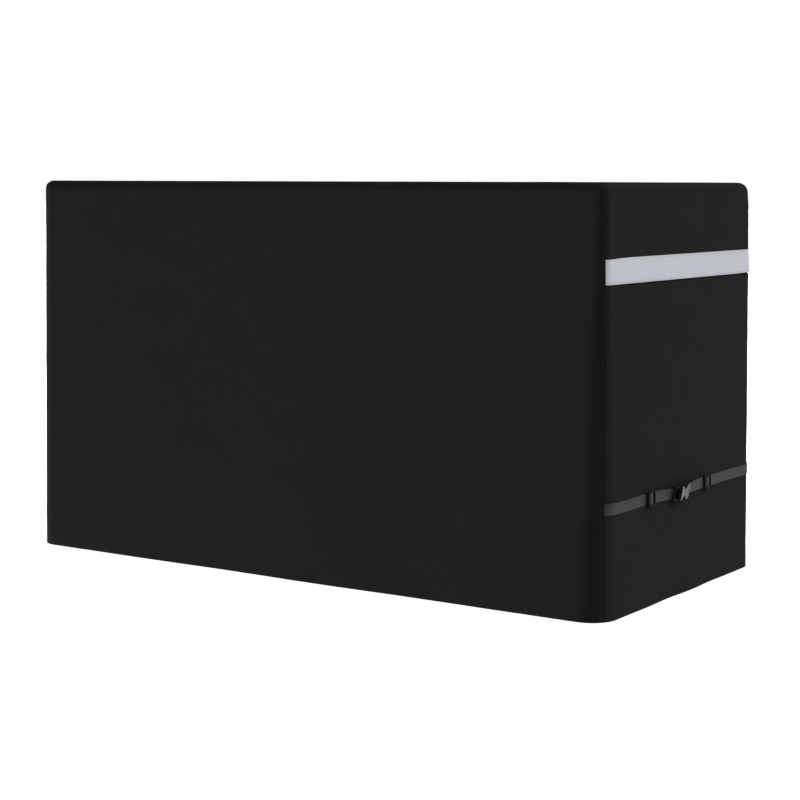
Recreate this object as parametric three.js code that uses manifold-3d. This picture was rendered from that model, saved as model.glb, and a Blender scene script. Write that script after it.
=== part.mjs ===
// A fitted barbecue cover: a hollow box of woven cloth, open at the bottom, with a reflective band and a
// buckled webbing strap across its right end.
// Millimetres. +X runs along the length to the strapped end, the front wall faces -Y, +Z is up.
// The origin is on the underside of the top, at its middle, where the barbecue carries the cover.

import * as THREE from "three";
import { mergeVertices } from "three/addons/utils/BufferGeometryUtils.js";
import Module from "manifold-3d";

const wasm = await Module();
wasm.setup();

// Driving dimensions of the box
const HEIGHT = 935; // from the hem to the top edge
const TOP_LENGTH = 1620;
const TOP_DEPTH = 774;
const HEM_FLARE = 15.3; // how far each wall stands out at the hem, past its top
const CORNER_RADIUS_TOP = 45;
const CORNER_RADIUS_HEM = 63;
const TOP_EDGE_RADIUS = 20;
const TOP_SAG = 4; // the middle of the top lies this much under its edge
const CLOTH = 2;
const HEM_CLOTH = 3.4; // the hem is turned in twice
const HEM_WIDTH = 30;
const GAP = 0.3; // between neighbouring pieces

// Where the panels are sewn together
const FRONT_WRAP = THREE.MathUtils.degToRad(54); // the front and back panels turn this far round a corner
const END_WRAP = Math.PI / 2 - FRONT_WRAP;
const TOP_SEAM_LIFT = THREE.MathUtils.degToRad(65); // up the rounded top edge
const SEAM_HALF_GAP = 0.2; // half of the gap in a corner seam
const SEAM_HALF_LIFT = 0.0105; // half of the gap in the top seam, as an angle
const END_CORNER_STEPS = 4; // facets of an end wall on each corner, also of what lies on it
const EDGE_STEPS = 4; // facets of a wall up the rounded top edge

// How uneven the walls hang
const FRONT_BOW = 3;
const FRONT_RIPPLE = 2.5;
const END_PUFF = 3;
const END_RIPPLE = 2;
const WAVES = 2.6;

// Reflective band
const BAND_WIDTH = 56;
const BAND_MIDDLE = 0.8 * HEIGHT; // above the hem
const BAND_CLOTH = 1;

// Webbing, sliders and buckle
const WEB_WIDTH = 25.4;
const WEB = 1.4;
const STRAP_MIDDLE = 0.26 * HEIGHT; // above the hem
const BUCKLE_PLACE = -42; // along the end wall, from its middle
const BAR_PLACE = 30; // from the middle of the buckle to the middle of each bar
const SLIDER_PLACES = { front: -180, back: 112 };

// The buckle hangs a little turned about the strap's line, its upper edge away from the wall.
const LEAN = THREE.MathUtils.degToRad(11);
const LEAN_LIFT = 3.3; // this much further from the wall, so that its lower edge stays clear
const LEAN_DROP = 2.5; // this much lower than the straps' ends

const COLOURS = {
  cloth: 0x1f1f20,
  band: 0xbec1c8,
  webbing: 0x424244,
  plastic: 0x101011,
};

// Levels worked out from the sizes
const Z_TOP = CLOTH + TOP_SAG; // outside of the cloth at the top edge
const Z_HEM = Z_TOP - HEIGHT;
const Z_BAND = Z_HEM + BAND_MIDDLE;
const Z_STRAP = Z_HEM + STRAP_MIDDLE;

// The four walls, each seen along its own outward direction
const SIDES = {
  right: { turn: 0, reach: "halfLength", span: "halfDepth" },
  back: { turn: Math.PI / 2, reach: "halfDepth", span: "halfLength" },
  left: { turn: Math.PI, reach: "halfLength", span: "halfDepth" },
  front: { turn: -Math.PI / 2, reach: "halfDepth", span: "halfLength" },
};

// The plan of the box at a height: it widens and its corners get rounder towards the hem.
function planAt(z) {
  const down = (Z_TOP - z) / HEIGHT;
  return {
    halfLength: TOP_LENGTH / 2 + HEM_FLARE * down,
    halfDepth: TOP_DEPTH / 2 + HEM_FLARE * down,
    radius: THREE.MathUtils.lerp(CORNER_RADIUS_TOP, CORNER_RADIUS_HEM, down),
  };
}

// A soft hump between two heights, both as shares of the wall.
function hump(share, low, high) {
  if (share <= low || share >= high) return 0;
  return Math.sin((Math.PI * (share - low)) / (high - low)) ** 2;
}

// How far a wall stands out from its plane. It is nothing at the corners, at the top edge, and on the
// right wall where the band and the strap lie.
function unevenness(side, along, z) {
  const share = (z - Z_HEM) / HEIGHT;
  const across = (1 - along * along) ** 2;
  const wave = Math.sin(WAVES * Math.PI * along + 0.7);
  if (side === "right") {
    const puff = END_PUFF * hump(share, 0.29, 0.74);
    const ripple = share < 0.21 ? END_RIPPLE * wave * (1 - share / 0.21) : 0;
    return across * (puff + ripple);
  }
  const bow = FRONT_BOW * hump(share, 0, 1);
  return across * (FRONT_RIPPLE * wave * (1 - share) ** 2 - bow);
}

// A point of a wall. along runs from -1 to 1 over the flat part, turn goes on round the corner past it,
// z is the height, lift the angle up the rounded top edge, and out the distance outside the cloth's face.
function wallPoint(side, along, turn, z, lift, out) {
  const wall = SIDES[side];
  const plan = planAt(z);
  const outward = new THREE.Vector3(Math.cos(wall.turn), Math.sin(wall.turn), 0);
  const sideways = new THREE.Vector3(-Math.sin(wall.turn), Math.cos(wall.turn), 0);
  const facing = outward.clone().multiplyScalar(Math.cos(turn));
  facing.addScaledVector(sideways, Math.sign(along) * Math.sin(turn));
  const fromAxis = TOP_EDGE_RADIUS + out;
  const point = outward.clone().multiplyScalar(plan[wall.reach] - plan.radius);
  point.addScaledVector(sideways, along * (plan[wall.span] - plan.radius));
  point.addScaledVector(facing, plan.radius - TOP_EDGE_RADIUS + fromAxis * Math.cos(lift));
  if (turn === 0 && lift === 0) point.addScaledVector(outward, unevenness(side, along, z));
  point.z = z + fromAxis * Math.sin(lift);
  return point;
}

// Even steps from one value to another, both included.
function steps(from, to, count) {
  return Array.from({ length: count + 1 }, (_, i) => THREE.MathUtils.lerp(from, to, i / count));
}

// How far a panel turns round a corner before it meets the seam.
function seamTurn(wrap, z, lift) {
  const roundRadius = planAt(z).radius - TOP_EDGE_RADIUS * (1 - Math.cos(lift));
  return wrap - SEAM_HALF_GAP / (roundRadius - CLOTH);
}

// Columns of a wall panel: round one corner, over the flat, round the other corner. share is the share of
// the turn up to the corner seam.
function columns(flatSteps, cornerSteps) {
  const corner = steps(0, 1, cornerSteps).slice(1);
  return [
    ...corner.toReversed().map((share) => ({ along: -1, share })),
    ...steps(-1, 1, flatSteps).map((along) => ({ along, share: 0 })),
    ...corner.map((share) => ({ along: 1, share })),
  ];
}

// Rows of a wall panel from the hem to the top seam. The cloth is thicker in the hem.
function rows(heights, liftSteps) {
  const edgeStart = Z_TOP - TOP_EDGE_RADIUS;
  const seam = TOP_SEAM_LIFT - SEAM_HALF_LIFT;
  return [
    { z: Z_HEM, lift: 0, cloth: HEM_CLOTH },
    { z: Z_HEM + HEM_WIDTH, lift: 0, cloth: HEM_CLOTH },
    { z: Z_HEM + HEM_WIDTH + CLOTH, lift: 0, cloth: CLOTH },
    ...heights.map((z) => ({ z, lift: 0, cloth: CLOTH })),
    ...steps(0, seam, liftSteps).map((lift) => ({ z: edgeStart, lift, cloth: CLOTH })),
  ];
}

// A closed body between an outer and an inner grid of points of the same size. The grids are lists of
// rows; a ring of rows closes on itself, and a capped one ends in one middle point.
function slab(outer, inner, ring = false) {
  const height = outer.length;
  const width = outer[0].length;
  const points = [...outer.flat(), ...inner.flat()];
  const at = (layer, row, column) => layer * width * height + row * width + (column % width);
  const faces = [];
  const quad = (a, b, c, d) => faces.push(a, b, c, a, c, d);
  const across = ring ? width : width - 1;
  for (let row = 0; row + 1 < height; row++) {
    for (let column = 0; column < across; column++) {
      quad(at(0, row, column), at(0, row, column + 1), at(0, row + 1, column + 1), at(0, row + 1, column));
      quad(at(1, row, column), at(1, row + 1, column), at(1, row + 1, column + 1), at(1, row, column + 1));
    }
  }
  for (let column = 0; column < across; column++) {
    quad(at(1, 0, column), at(1, 0, column + 1), at(0, 0, column + 1), at(0, 0, column));
    if (ring) continue;
    const last = height - 1;
    quad(at(0, last, column), at(0, last, column + 1), at(1, last, column + 1), at(1, last, column));
  }
  if (ring) {
    const last = height - 1;
    const middle = (grid) => {
      const sum = grid[last].reduce((total, point) => total.add(point), new THREE.Vector3());
      return sum.divideScalar(width);
    };
    const outerMiddle = points.push(middle(outer)) - 1;
    const innerMiddle = points.push(middle(inner)) - 1;
    for (let column = 0; column < width; column++) {
      faces.push(at(0, last, column), at(0, last, column + 1), outerMiddle);
      faces.push(at(1, last, column + 1), at(1, last, column), innerMiddle);
    }
  } else {
    for (let row = 0; row + 1 < height; row++) {
      quad(at(0, row, 0), at(0, row + 1, 0), at(1, row + 1, 0), at(1, row, 0));
      const end = width - 1;
      quad(at(0, row, end), at(1, row, end), at(1, row + 1, end), at(0, row + 1, end));
    }
  }
  return new THREE.BufferGeometry().setFromPoints(points).setIndex(faces);
}

// One wall: its outer face, and its inner face set in by the cloth's thickness.
function wallPanel(side, wrap, panelColumns, panelRows) {
  const grid = (inset) =>
    panelRows.map(({ z, lift, cloth }) => {
      const seam = seamTurn(wrap, z, lift);
      return panelColumns.map(({ along, share }) =>
        wallPoint(side, along, share * seam, z, lift, inset ? -cloth : 0),
      );
    });
  return slab(grid(false), grid(true));
}

// How far the top lies under its edge at a place in the plan.
function topSag(x, y) {
  const acrossX = 1 - (x / (TOP_LENGTH / 2 - TOP_EDGE_RADIUS)) ** 2;
  const acrossY = 1 - (y / (TOP_DEPTH / 2 - TOP_EDGE_RADIUS)) ** 2;
  return TOP_SAG * Math.max(0, acrossX) * Math.max(0, acrossY);
}

// The top: rings of points round the box, from the top seam over the rounded edge to near the middle.
function topPanel() {
  const flatSteps = { right: 6, back: 12, left: 6, front: 12 };
  const cornerSteps = 8;
  const edgeStart = Z_TOP - TOP_EDGE_RADIUS;
  const lifts = steps(TOP_SEAM_LIFT + SEAM_HALF_LIFT, Math.PI / 2, 2);
  const insets = [0.9, 0.7, 0.4, 0.12];
  const round = Object.keys(SIDES).flatMap((side) => [
    ...steps(-1, 1, flatSteps[side]).map((along) => ({ side, along, turn: 0 })),
    ...steps(0, Math.PI / 2, cornerSteps)
      .slice(1, -1)
      .map((turn) => ({ side, along: 1, turn })),
  ]);
  const edge = (lift, out) =>
    round.map(({ side, along, turn }) => wallPoint(side, along, turn, edgeStart, lift, out));
  const inward = (share, out) =>
    edge(Math.PI / 2, out).map((rim) => {
      const point = new THREE.Vector3(rim.x * share, rim.y * share, rim.z);
      point.z -= topSag(point.x, point.y);
      return point;
    });
  const grid = (out) => [
    ...lifts.map((lift) => edge(lift, out)),
    ...insets.map((share) => inward(share, out)),
  ];
  return slab(grid(0), grid(-CLOTH), true);
}

// The reflective band: it lies on the right wall from one corner seam to the other.
function reflectiveBand() {
  const places = columns(6, END_CORNER_STEPS);
  const grid = (out) =>
    [Z_BAND - BAND_WIDTH / 2, Z_BAND, Z_BAND + BAND_WIDTH / 2].map((z) => {
      const seam = seamTurn(END_WRAP, z, 0);
      return places.map(({ along, share }) => wallPoint("right", along, share * seam, z, 0, out));
    });
  return slab(grid(GAP + BAND_CLOTH), grid(GAP));
}

// A path with its corners rounded: each row has a place u along the wall, a distance o from the wall, and
// the radius of its corner.
function roundedPath(corners, bendSteps) {
  const points = [];
  corners.forEach(({ u, o, radius }, i) => {
    const here = new THREE.Vector2(u, o);
    if (!radius) {
      points.push(here);
      return;
    }
    const before = new THREE.Vector2(corners[i - 1].u, corners[i - 1].o).sub(here).normalize();
    const after = new THREE.Vector2(corners[i + 1].u, corners[i + 1].o).sub(here).normalize();
    const half = Math.acos(THREE.MathUtils.clamp(before.dot(after), -1, 1)) / 2;
    const reach = radius / Math.tan(half);
    const start = here.clone().addScaledVector(before, reach);
    const end = here.clone().addScaledVector(after, reach);
    const middle = before.clone().add(after).normalize();
    const centre = here.clone().addScaledVector(middle, radius / Math.sin(half));
    const from = start.clone().sub(centre).angle();
    let sweep = end.clone().sub(centre).angle() - from;
    if (sweep > Math.PI) sweep -= 2 * Math.PI;
    if (sweep < -Math.PI) sweep += 2 * Math.PI;
    for (const share of steps(0, 1, bendSteps)) {
      const angle = from + share * sweep;
      const spoke = new THREE.Vector2(Math.cos(angle), Math.sin(angle));
      points.push(spoke.multiplyScalar(radius).add(centre));
    }
  });
  return points;
}

// A path with its long stretches cut into even pieces, so that the strap can turn along them.
function refined(path, longest) {
  return path.flatMap((point, i) => {
    const next = path[i + 1];
    if (!next) return [point];
    const count = Math.ceil(point.distanceTo(next) / longest);
    return Array.from({ length: count }, (_, k) => point.clone().lerp(next, k / count));
  });
}

// The two faces of a webbing of a given thickness whose middle follows a path.
function ribbonFaces(path, thickness) {
  return [1, -1].map((side) =>
    path.map((point, i) => {
      const before = path[Math.max(i - 1, 0)];
      const after = path[Math.min(i + 1, path.length - 1)];
      const into = point.clone().sub(before).normalize();
      const out = after.clone().sub(point).normalize();
      if (i === 0) into.copy(out);
      if (i === path.length - 1) out.copy(into);
      const normal = new THREE.Vector2(-into.y - out.y, into.x + out.x).normalize();
      const stretch = normal.x * -out.y + normal.y * out.x;
      return point.clone().addScaledVector(normal, (side * thickness) / 2 / stretch);
    }),
  );
}

// Distances of the webbing's layers from the wall, to the middle of each layer
const LAYER_ON_WALL = GAP + WEB / 2;
const SECOND_LAYER = LAYER_ON_WALL + WEB + GAP;

// Slider sizes: two outer bars and a middle bar between two rails
const SLIDER = {
  halfLength: 17,
  railIn: WEB_WIDTH / 2 + 0.6,
  railOut: WEB_WIDTH / 2 + 4,
  outerBar: 4.5,
  middleBar: 6,
  barLow: SECOND_LAYER + WEB / 2 + GAP,
  barThick: 4.2,
  middleLow: LAYER_ON_WALL + WEB / 2 + GAP,
  middleThick: 2.6,
};
const LOOP_OVER_BAR = SLIDER.middleLow + SLIDER.middleThick + GAP + WEB / 2;
const STRAP_OVER_BAR = LOOP_OVER_BAR + WEB + GAP;

// Bars of the buckle
const BAR_RADIUS = 1.8;
const BAR_HEIGHT = LAYER_ON_WALL + WEB / 2 + GAP + BAR_RADIUS; // from the wall to the bar's middle
const WRAP_RADIUS = BAR_RADIUS + GAP + WEB / 2;
const BEND_SHARE = 0.94; // a half turn is two bends with a short straight between them

// The route of one strap, as distances u from the buckle's bar towards the corner. It starts in the sewn
// loop round the slider's middle bar, runs along the wall to the buckle, turns round its bar, and comes
// back on top of itself, through the slider and on to the corner seam.
const STRAP = {
  looseEnd: 3.2, // past the slider's middle
  slack: 0.2, // between the loop and the middle bar's edge
  leavesBar: 3, // where the strap starts down from the buckle's bar
  layersMeet: 16, // where it lies on its own back layer
  crest: 4, // half of its level stretch over the slider's middle bar
  longest: 12, // longest straight piece, so that the strap can turn along its way
};

function strapRoute(sliderAt, seamAt) {
  const loopRadius = (LOOP_OVER_BAR - LAYER_ON_WALL) / 2;
  const loopEnd = sliderAt + SLIDER.middleBar / 2 + loopRadius + STRAP.slack;
  const slotEnd = SLIDER.halfLength - SLIDER.outerBar;
  const overBuckleBar = BAR_HEIGHT + WRAP_RADIUS;
  return [
    { u: sliderAt - STRAP.looseEnd, o: LOOP_OVER_BAR, radius: 0 },
    { u: loopEnd, o: LOOP_OVER_BAR, radius: loopRadius * BEND_SHARE },
    { u: loopEnd, o: LAYER_ON_WALL, radius: loopRadius * BEND_SHARE },
    { u: -WRAP_RADIUS, o: LAYER_ON_WALL, radius: WRAP_RADIUS * BEND_SHARE },
    { u: -WRAP_RADIUS, o: overBuckleBar, radius: WRAP_RADIUS * BEND_SHARE },
    { u: STRAP.leavesBar, o: overBuckleBar, radius: 4 },
    { u: STRAP.layersMeet, o: SECOND_LAYER, radius: 12 },
    { u: sliderAt - slotEnd + 1, o: SECOND_LAYER, radius: 4 },
    { u: sliderAt - STRAP.crest, o: STRAP_OVER_BAR, radius: 3 },
    { u: sliderAt + STRAP.crest + 1, o: STRAP_OVER_BAR, radius: 3 },
    { u: sliderAt + slotEnd + 1, o: LAYER_ON_WALL, radius: 4 },
    { u: seamAt, o: LAYER_ON_WALL, radius: 0 },
  ];
}

// How far a strap shares the buckle's lean, at a distance from the buckle's bar: all of it at the buckle,
// none of it from the slider on.
function leanShare(u, sliderAt) {
  return 1 - THREE.MathUtils.smoothstep(u, BUCKLE.half - BAR_PLACE, sliderAt - SLIDER.halfLength - 4);
}

// One strap: the outline of its route, laid on the right wall between its lower and upper edges.
function strap(towards) {
  const plan = planAt(Z_STRAP);
  const flatHalf = plan.halfDepth - plan.radius;
  const seam = flatHalf + plan.radius * seamTurn(END_WRAP, Z_STRAP, 0);
  const direction = towards === "front" ? -1 : 1;
  const bar = BUCKLE_PLACE + direction * BAR_PLACE;
  const sliderAt = Math.abs(SLIDER_PLACES[towards] - bar);
  const route = strapRoute(sliderAt, seam - direction * bar);
  const last = route.pop();
  const cornerStart = flatHalf - direction * bar;
  const onCorner = steps(cornerStart, last.u, END_CORNER_STEPS).map((u) => new THREE.Vector2(u, last.o));
  const path = refined([...roundedPath(withEnd(route, onCorner[0]), 5), ...onCorner], STRAP.longest);
  const edge = (face, up) => {
    const points = face.map((flat) => {
      const place = direction * flat.x + bar;
      const turn = Math.max(0, Math.abs(place) - flatHalf) / plan.radius;
      const along = THREE.MathUtils.clamp(place / flatHalf, -1, 1);
      const share = leanShare(flat.x, sliderAt);
      const lean = LEAN * share;
      const out = flat.y * Math.cos(lean) + up * Math.sin(lean) + LEAN_LIFT * share;
      const z = Z_STRAP + up * Math.cos(lean) - flat.y * Math.sin(lean) - LEAN_DROP * share;
      return wallPoint("right", along, turn, z, 0, out);
    });
    return direction > 0 ? points : points.toReversed();
  };
  const grids = ribbonFaces(path, WEB).map((face) => [edge(face, -WEB_WIDTH / 2), edge(face, WEB_WIDTH / 2)]);
  return slab(grids[0], grids[1]);
}

// The route's corners without the point that starts the stretch round the corner, which only aims the
// last bend.
function withEnd(route, end) {
  return [...route, { u: end.x - 1, o: end.y, radius: 0 }];
}

// A geometry as a solid for joining and cutting, and back.
function solidOf(geometry) {
  const bare = geometry.clone();
  bare.deleteAttribute("normal");
  bare.deleteAttribute("uv");
  const merged = mergeVertices(bare, 1e-4);
  const mesh = new wasm.Mesh({
    numProp: 3,
    vertProperties: merged.attributes.position.array,
    triVerts: new Uint32Array(merged.index.array),
  });
  return new wasm.Manifold(mesh);
}

function geometryOf(solid) {
  const mesh = solid.getMesh();
  const geometry = new THREE.BufferGeometry();
  geometry.setAttribute("position", new THREE.BufferAttribute(mesh.vertProperties, 3));
  return geometry.setIndex(new THREE.BufferAttribute(mesh.triVerts, 1));
}

// A block between two corners; x runs along the wall, y up the wall, z out from it.
function block(low, high) {
  const size = high.map((value, i) => value - low[i]);
  const middle = high.map((value, i) => (value + low[i]) / 2);
  return solidOf(new THREE.BoxGeometry(...size).translate(...middle));
}

// A plate of a given outline with eased edges, between two distances from the wall.
function plate(shape, low, high, ease) {
  const geometry = new THREE.ExtrudeGeometry(shape, {
    depth: high - low - 2 * ease,
    bevelEnabled: true,
    bevelThickness: ease,
    bevelSize: ease,
    bevelOffset: -ease,
    bevelSegments: 2,
    curveSegments: 4,
  });
  return solidOf(geometry.translate(0, 0, low + ease));
}

// A rectangle with rounded corners.
function roundedRectangle(x0, x1, halfHeight, radius) {
  const shape = new THREE.Shape();
  shape.moveTo(x0 + radius, -halfHeight);
  shape.lineTo(x1 - radius, -halfHeight);
  shape.absarc(x1 - radius, -halfHeight + radius, radius, -Math.PI / 2, 0);
  shape.lineTo(x1, halfHeight - radius);
  shape.absarc(x1 - radius, halfHeight - radius, radius, 0, Math.PI / 2);
  shape.lineTo(x0 + radius, halfHeight);
  shape.absarc(x0 + radius, halfHeight - radius, radius, Math.PI / 2, Math.PI);
  shape.lineTo(x0, -halfHeight + radius);
  shape.absarc(x0 + radius, -halfHeight + radius, radius, Math.PI, (3 * Math.PI) / 2);
  return shape;
}

// A slider, its middle at the origin of the strap line: the frame less its two slots, and the middle bar,
// which lies lower than the frame.
function slider() {
  const top = SLIDER.barLow + SLIDER.barThick;
  const outline = roundedRectangle(-SLIDER.halfLength, SLIDER.halfLength, SLIDER.railOut, 4);
  const slot = SLIDER.halfLength - SLIDER.outerBar;
  const half = SLIDER.middleBar / 2;
  const frame = plate(outline, SLIDER.barLow, top, 0.8);
  const feet = [-1, 1].map((side) => {
    const edges = [side * SLIDER.railIn, side * (SLIDER.railOut - 0.8)].toSorted((a, b) => a - b);
    return block([-slot, edges[0], SLIDER.middleLow], [slot, edges[1], SLIDER.barLow + 1]);
  });
  const window = block([-slot, -SLIDER.railIn, 0], [slot, SLIDER.railIn, top + 1]);
  const middleTop = SLIDER.middleLow + SLIDER.middleThick;
  const bar = block([-half, -SLIDER.railIn - 1, SLIDER.middleLow], [half, SLIDER.railIn + 1, middleTop]);
  return geometryOf(frame.add(feet[0]).add(feet[1]).subtract(window).add(bar));
}

// Buckle sizes. Its middle is at the origin, the socket lies on the -X side and the plug on the +X side.
const BUCKLE = {
  half: 38, // half of its length
  halfHeight: 17,
  low: 1.2,
  plugHigh: 11.5,
  socketHigh: 15.2,
  windowIn: WEB_WIDTH / 2 + 0.6,
  rim: 4, // across each end, in front of the webbing
  rimLow: 7.7,
  mouth: 9,
  shoulder: 6,
  waistMiddle: -8, // where the socket is drawn in, and the plug's arms show
  waistReach: 13,
  waistHalf: 8,
  cavityEnd: -23,
  cavityHalf: 13,
  cavityLow: 4.4,
  cavityHigh: 12.4,
  armWidth: 5,
  bumpHalf: 6.4,
  bumpRise: 5,
  guideHalf: 2.5,
};

// A round bar across the buckle.
function buckleBar(x) {
  const bar = new THREE.CylinderGeometry(BAR_RADIUS, BAR_RADIUS, 2 * BUCKLE.windowIn + 2, 12);
  return solidOf(bar.translate(x, 0, BAR_HEIGHT));
}

// The opening that the webbing passes through: open at the front inside the rim, and under the rim out to
// the buckle's end.
function webWindow(direction, inner) {
  const reach = (end, top) => {
    const xs = [direction * inner, direction * end].toSorted((a, b) => a - b);
    return block([xs[0], -BUCKLE.windowIn, 0], [xs[1], BUCKLE.windowIn, top]);
  };
  return reach(BUCKLE.half - BUCKLE.rim, BUCKLE.socketHigh + 1).add(reach(BUCKLE.half + 1, BUCKLE.rimLow));
}

// Half of the socket's height at a place along it.
function socketHalfHeight(x) {
  const away = Math.abs(x - BUCKLE.waistMiddle) / BUCKLE.waistReach;
  const dip = away < 1 ? (1 + Math.cos(Math.PI * away)) / 2 : 0;
  return THREE.MathUtils.lerp(BUCKLE.halfHeight, BUCKLE.waistHalf, dip);
}

// The socket's outline, seen from the front: a waisted plate with rounded corners.
function socketOutline() {
  const corner = 4;
  const edge = [
    { x: BUCKLE.mouth, y: BUCKLE.halfHeight - 1 },
    { x: BUCKLE.mouth - 1, y: BUCKLE.halfHeight },
    ...steps(BUCKLE.waistMiddle + BUCKLE.waistReach, BUCKLE.waistMiddle - BUCKLE.waistReach, 10).map((x) => ({
      x,
      y: socketHalfHeight(x),
    })),
    ...steps(Math.PI / 2, Math.PI, 3).map((angle) => ({
      x: -BUCKLE.half + corner + corner * Math.cos(angle),
      y: BUCKLE.halfHeight - corner + corner * Math.sin(angle),
    })),
  ];
  const lower = edge.map(({ x, y }) => new THREE.Vector2(x, -y)).toReversed();
  return new THREE.Shape([...edge.map(({ x, y }) => new THREE.Vector2(x, y)), ...lower]);
}

// The socket: a hollow waisted body with a mouth towards the plug, lower at the end that the webbing
// passes through.
function buckleSocket() {
  const webInner = BAR_PLACE - WRAP_RADIUS - WEB / 2 - 0.8;
  const body = plate(socketOutline(), BUCKLE.low, BUCKLE.socketHigh, 1.6);
  const cavity = block(
    [BUCKLE.cavityEnd, -BUCKLE.cavityHalf, BUCKLE.cavityLow],
    [BUCKLE.mouth + 1, BUCKLE.cavityHalf, BUCKLE.cavityHigh],
  );
  const overEnd = block(
    [-BUCKLE.half - 1, -BUCKLE.halfHeight - 1, BUCKLE.plugHigh],
    [-webInner + 1.2, BUCKLE.halfHeight + 1, BUCKLE.socketHigh + 1],
  );
  const hollow = body.subtract(cavity).subtract(overEnd).subtract(webWindow(-1, webInner));
  return geometryOf(hollow.add(buckleBar(-BAR_PLACE)));
}

// A locking arm of the plug: it runs from the base into the socket, and its round button stands out at
// the socket's waist.
function armShape(side) {
  const root = BUCKLE.mouth + 4;
  const tip = BUCKLE.cavityEnd + 2;
  const outer = BUCKLE.cavityHalf - GAP;
  const inner = outer - BUCKLE.armWidth;
  const points = [
    { x: root, y: inner },
    { x: root, y: outer },
    ...steps(0, Math.PI, 8).map((angle) => ({
      x: BUCKLE.waistMiddle + BUCKLE.bumpHalf * Math.cos(angle),
      y: outer + BUCKLE.bumpRise * Math.sin(angle),
    })),
    { x: tip, y: outer - 3 },
    { x: tip, y: inner - 1 },
    { x: BUCKLE.waistMiddle + 4, y: inner },
  ].map(({ x, y }) => new THREE.Vector2(x, side * y));
  return new THREE.Shape(side > 0 ? points.toReversed() : points);
}

// The plug: a base with its bar outside the socket, two locking arms and a guide between them inside it.
function bucklePlug() {
  const start = BUCKLE.mouth + GAP;
  const low = BUCKLE.cavityLow + GAP;
  const high = BUCKLE.cavityHigh - GAP;
  const outline = roundedRectangle(start, BUCKLE.half, BUCKLE.halfHeight, 5);
  const base = plate(outline, BUCKLE.low, BUCKLE.plugHigh, 1.6);
  const arms = [-1, 1].map((side) => plate(armShape(side), low, high, 0.6));
  const guideEnd = BUCKLE.cavityEnd + 12;
  const guide = block([guideEnd, -BUCKLE.guideHalf, low], [start + 3, BUCKLE.guideHalf, high]);
  const joined = base.subtract(webWindow(1, start + BUCKLE.shoulder)).add(buckleBar(BAR_PLACE));
  return geometryOf(joined.add(arms[0]).add(arms[1]).add(guide));
}

// The object: cloth pieces in the cover's own frame, hardware in a group that lies on the strap's line.
function finish(colour, roughness, metalness = 0) {
  return new THREE.MeshStandardMaterial({ color: colour, roughness, metalness });
}

function piece(name, geometry, material) {
  const mesh = new THREE.Mesh(geometry, material);
  mesh.name = name;
  return mesh;
}

const materials = {
  cloth: finish(COLOURS.cloth, 0.85),
  band: finish(COLOURS.band, 0.45),
  webbing: finish(COLOURS.webbing, 0.7),
  plastic: finish(COLOURS.plastic, 0.35),
};

const frontColumns = columns(14, 6);
const endColumns = columns(10, END_CORNER_STEPS);
const edgeStart = Z_TOP - TOP_EDGE_RADIUS;
const plainHeights = steps(Z_HEM + 120, edgeStart - 90, 6);
const strapEdge = WEB_WIDTH / 2 + 3;
const bandEdge = BAND_WIDTH / 2 + 3;
const rightHeights = [
  Z_HEM + 110,
  Z_STRAP - strapEdge,
  Z_STRAP + strapEdge,
  ...steps(Z_STRAP + 80, Z_BAND - 70, 4),
  Z_BAND - bandEdge,
  Z_BAND + bandEdge,
];

const cover = new THREE.Group();
cover.add(piece("top_panel", topPanel(), materials.cloth));
for (const [name, side, wrap, panelColumns, heights] of [
  ["front_panel", "front", FRONT_WRAP, frontColumns, plainHeights],
  ["back_panel", "back", FRONT_WRAP, frontColumns, plainHeights],
  ["right_end_panel", "right", END_WRAP, endColumns, rightHeights],
  ["left_end_panel", "left", END_WRAP, endColumns, plainHeights],
]) {
  cover.add(piece(name, wallPanel(side, wrap, panelColumns, rows(heights, EDGE_STEPS)), materials.cloth));
}
cover.add(piece("reflective_band", reflectiveBand(), materials.band));
cover.add(piece("strap_front", strap("front"), materials.webbing));
cover.add(piece("strap_back", strap("back"), materials.webbing));

// The strap's line leans out with the wall, by the flare over the height.
const strapLine = new THREE.Group();
const lean = Math.atan(HEM_FLARE / HEIGHT);
strapLine.position.set(planAt(Z_STRAP).halfLength, 0, Z_STRAP);
strapLine.quaternion.setFromRotationMatrix(
  new THREE.Matrix4().makeBasis(
    new THREE.Vector3(0, 1, 0),
    new THREE.Vector3(-Math.sin(lean), 0, Math.cos(lean)),
    new THREE.Vector3(Math.cos(lean), 0, Math.sin(lean)),
  ),
);
for (const [name, place] of Object.entries(SLIDER_PLACES)) {
  const mesh = piece("slider_" + name, slider(), materials.plastic);
  mesh.position.x = place;
  strapLine.add(mesh);
}
// The buckle is turned round, so that its plug is on the front strap and its socket on the back one.
const buckle = new THREE.Group();
buckle.position.set(BUCKLE_PLACE, -LEAN_DROP, LEAN_LIFT);
buckle.rotation.set(LEAN, 0, Math.PI);
buckle.add(piece("buckle_socket", buckleSocket(), materials.plastic));
buckle.add(piece("buckle_plug", bucklePlug(), materials.plastic));
strapLine.add(buckle);
cover.add(strapLine);

export default cover;
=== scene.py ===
import math

import bmesh
import bpy
import numpy as np
from mathutils import Matrix


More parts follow.
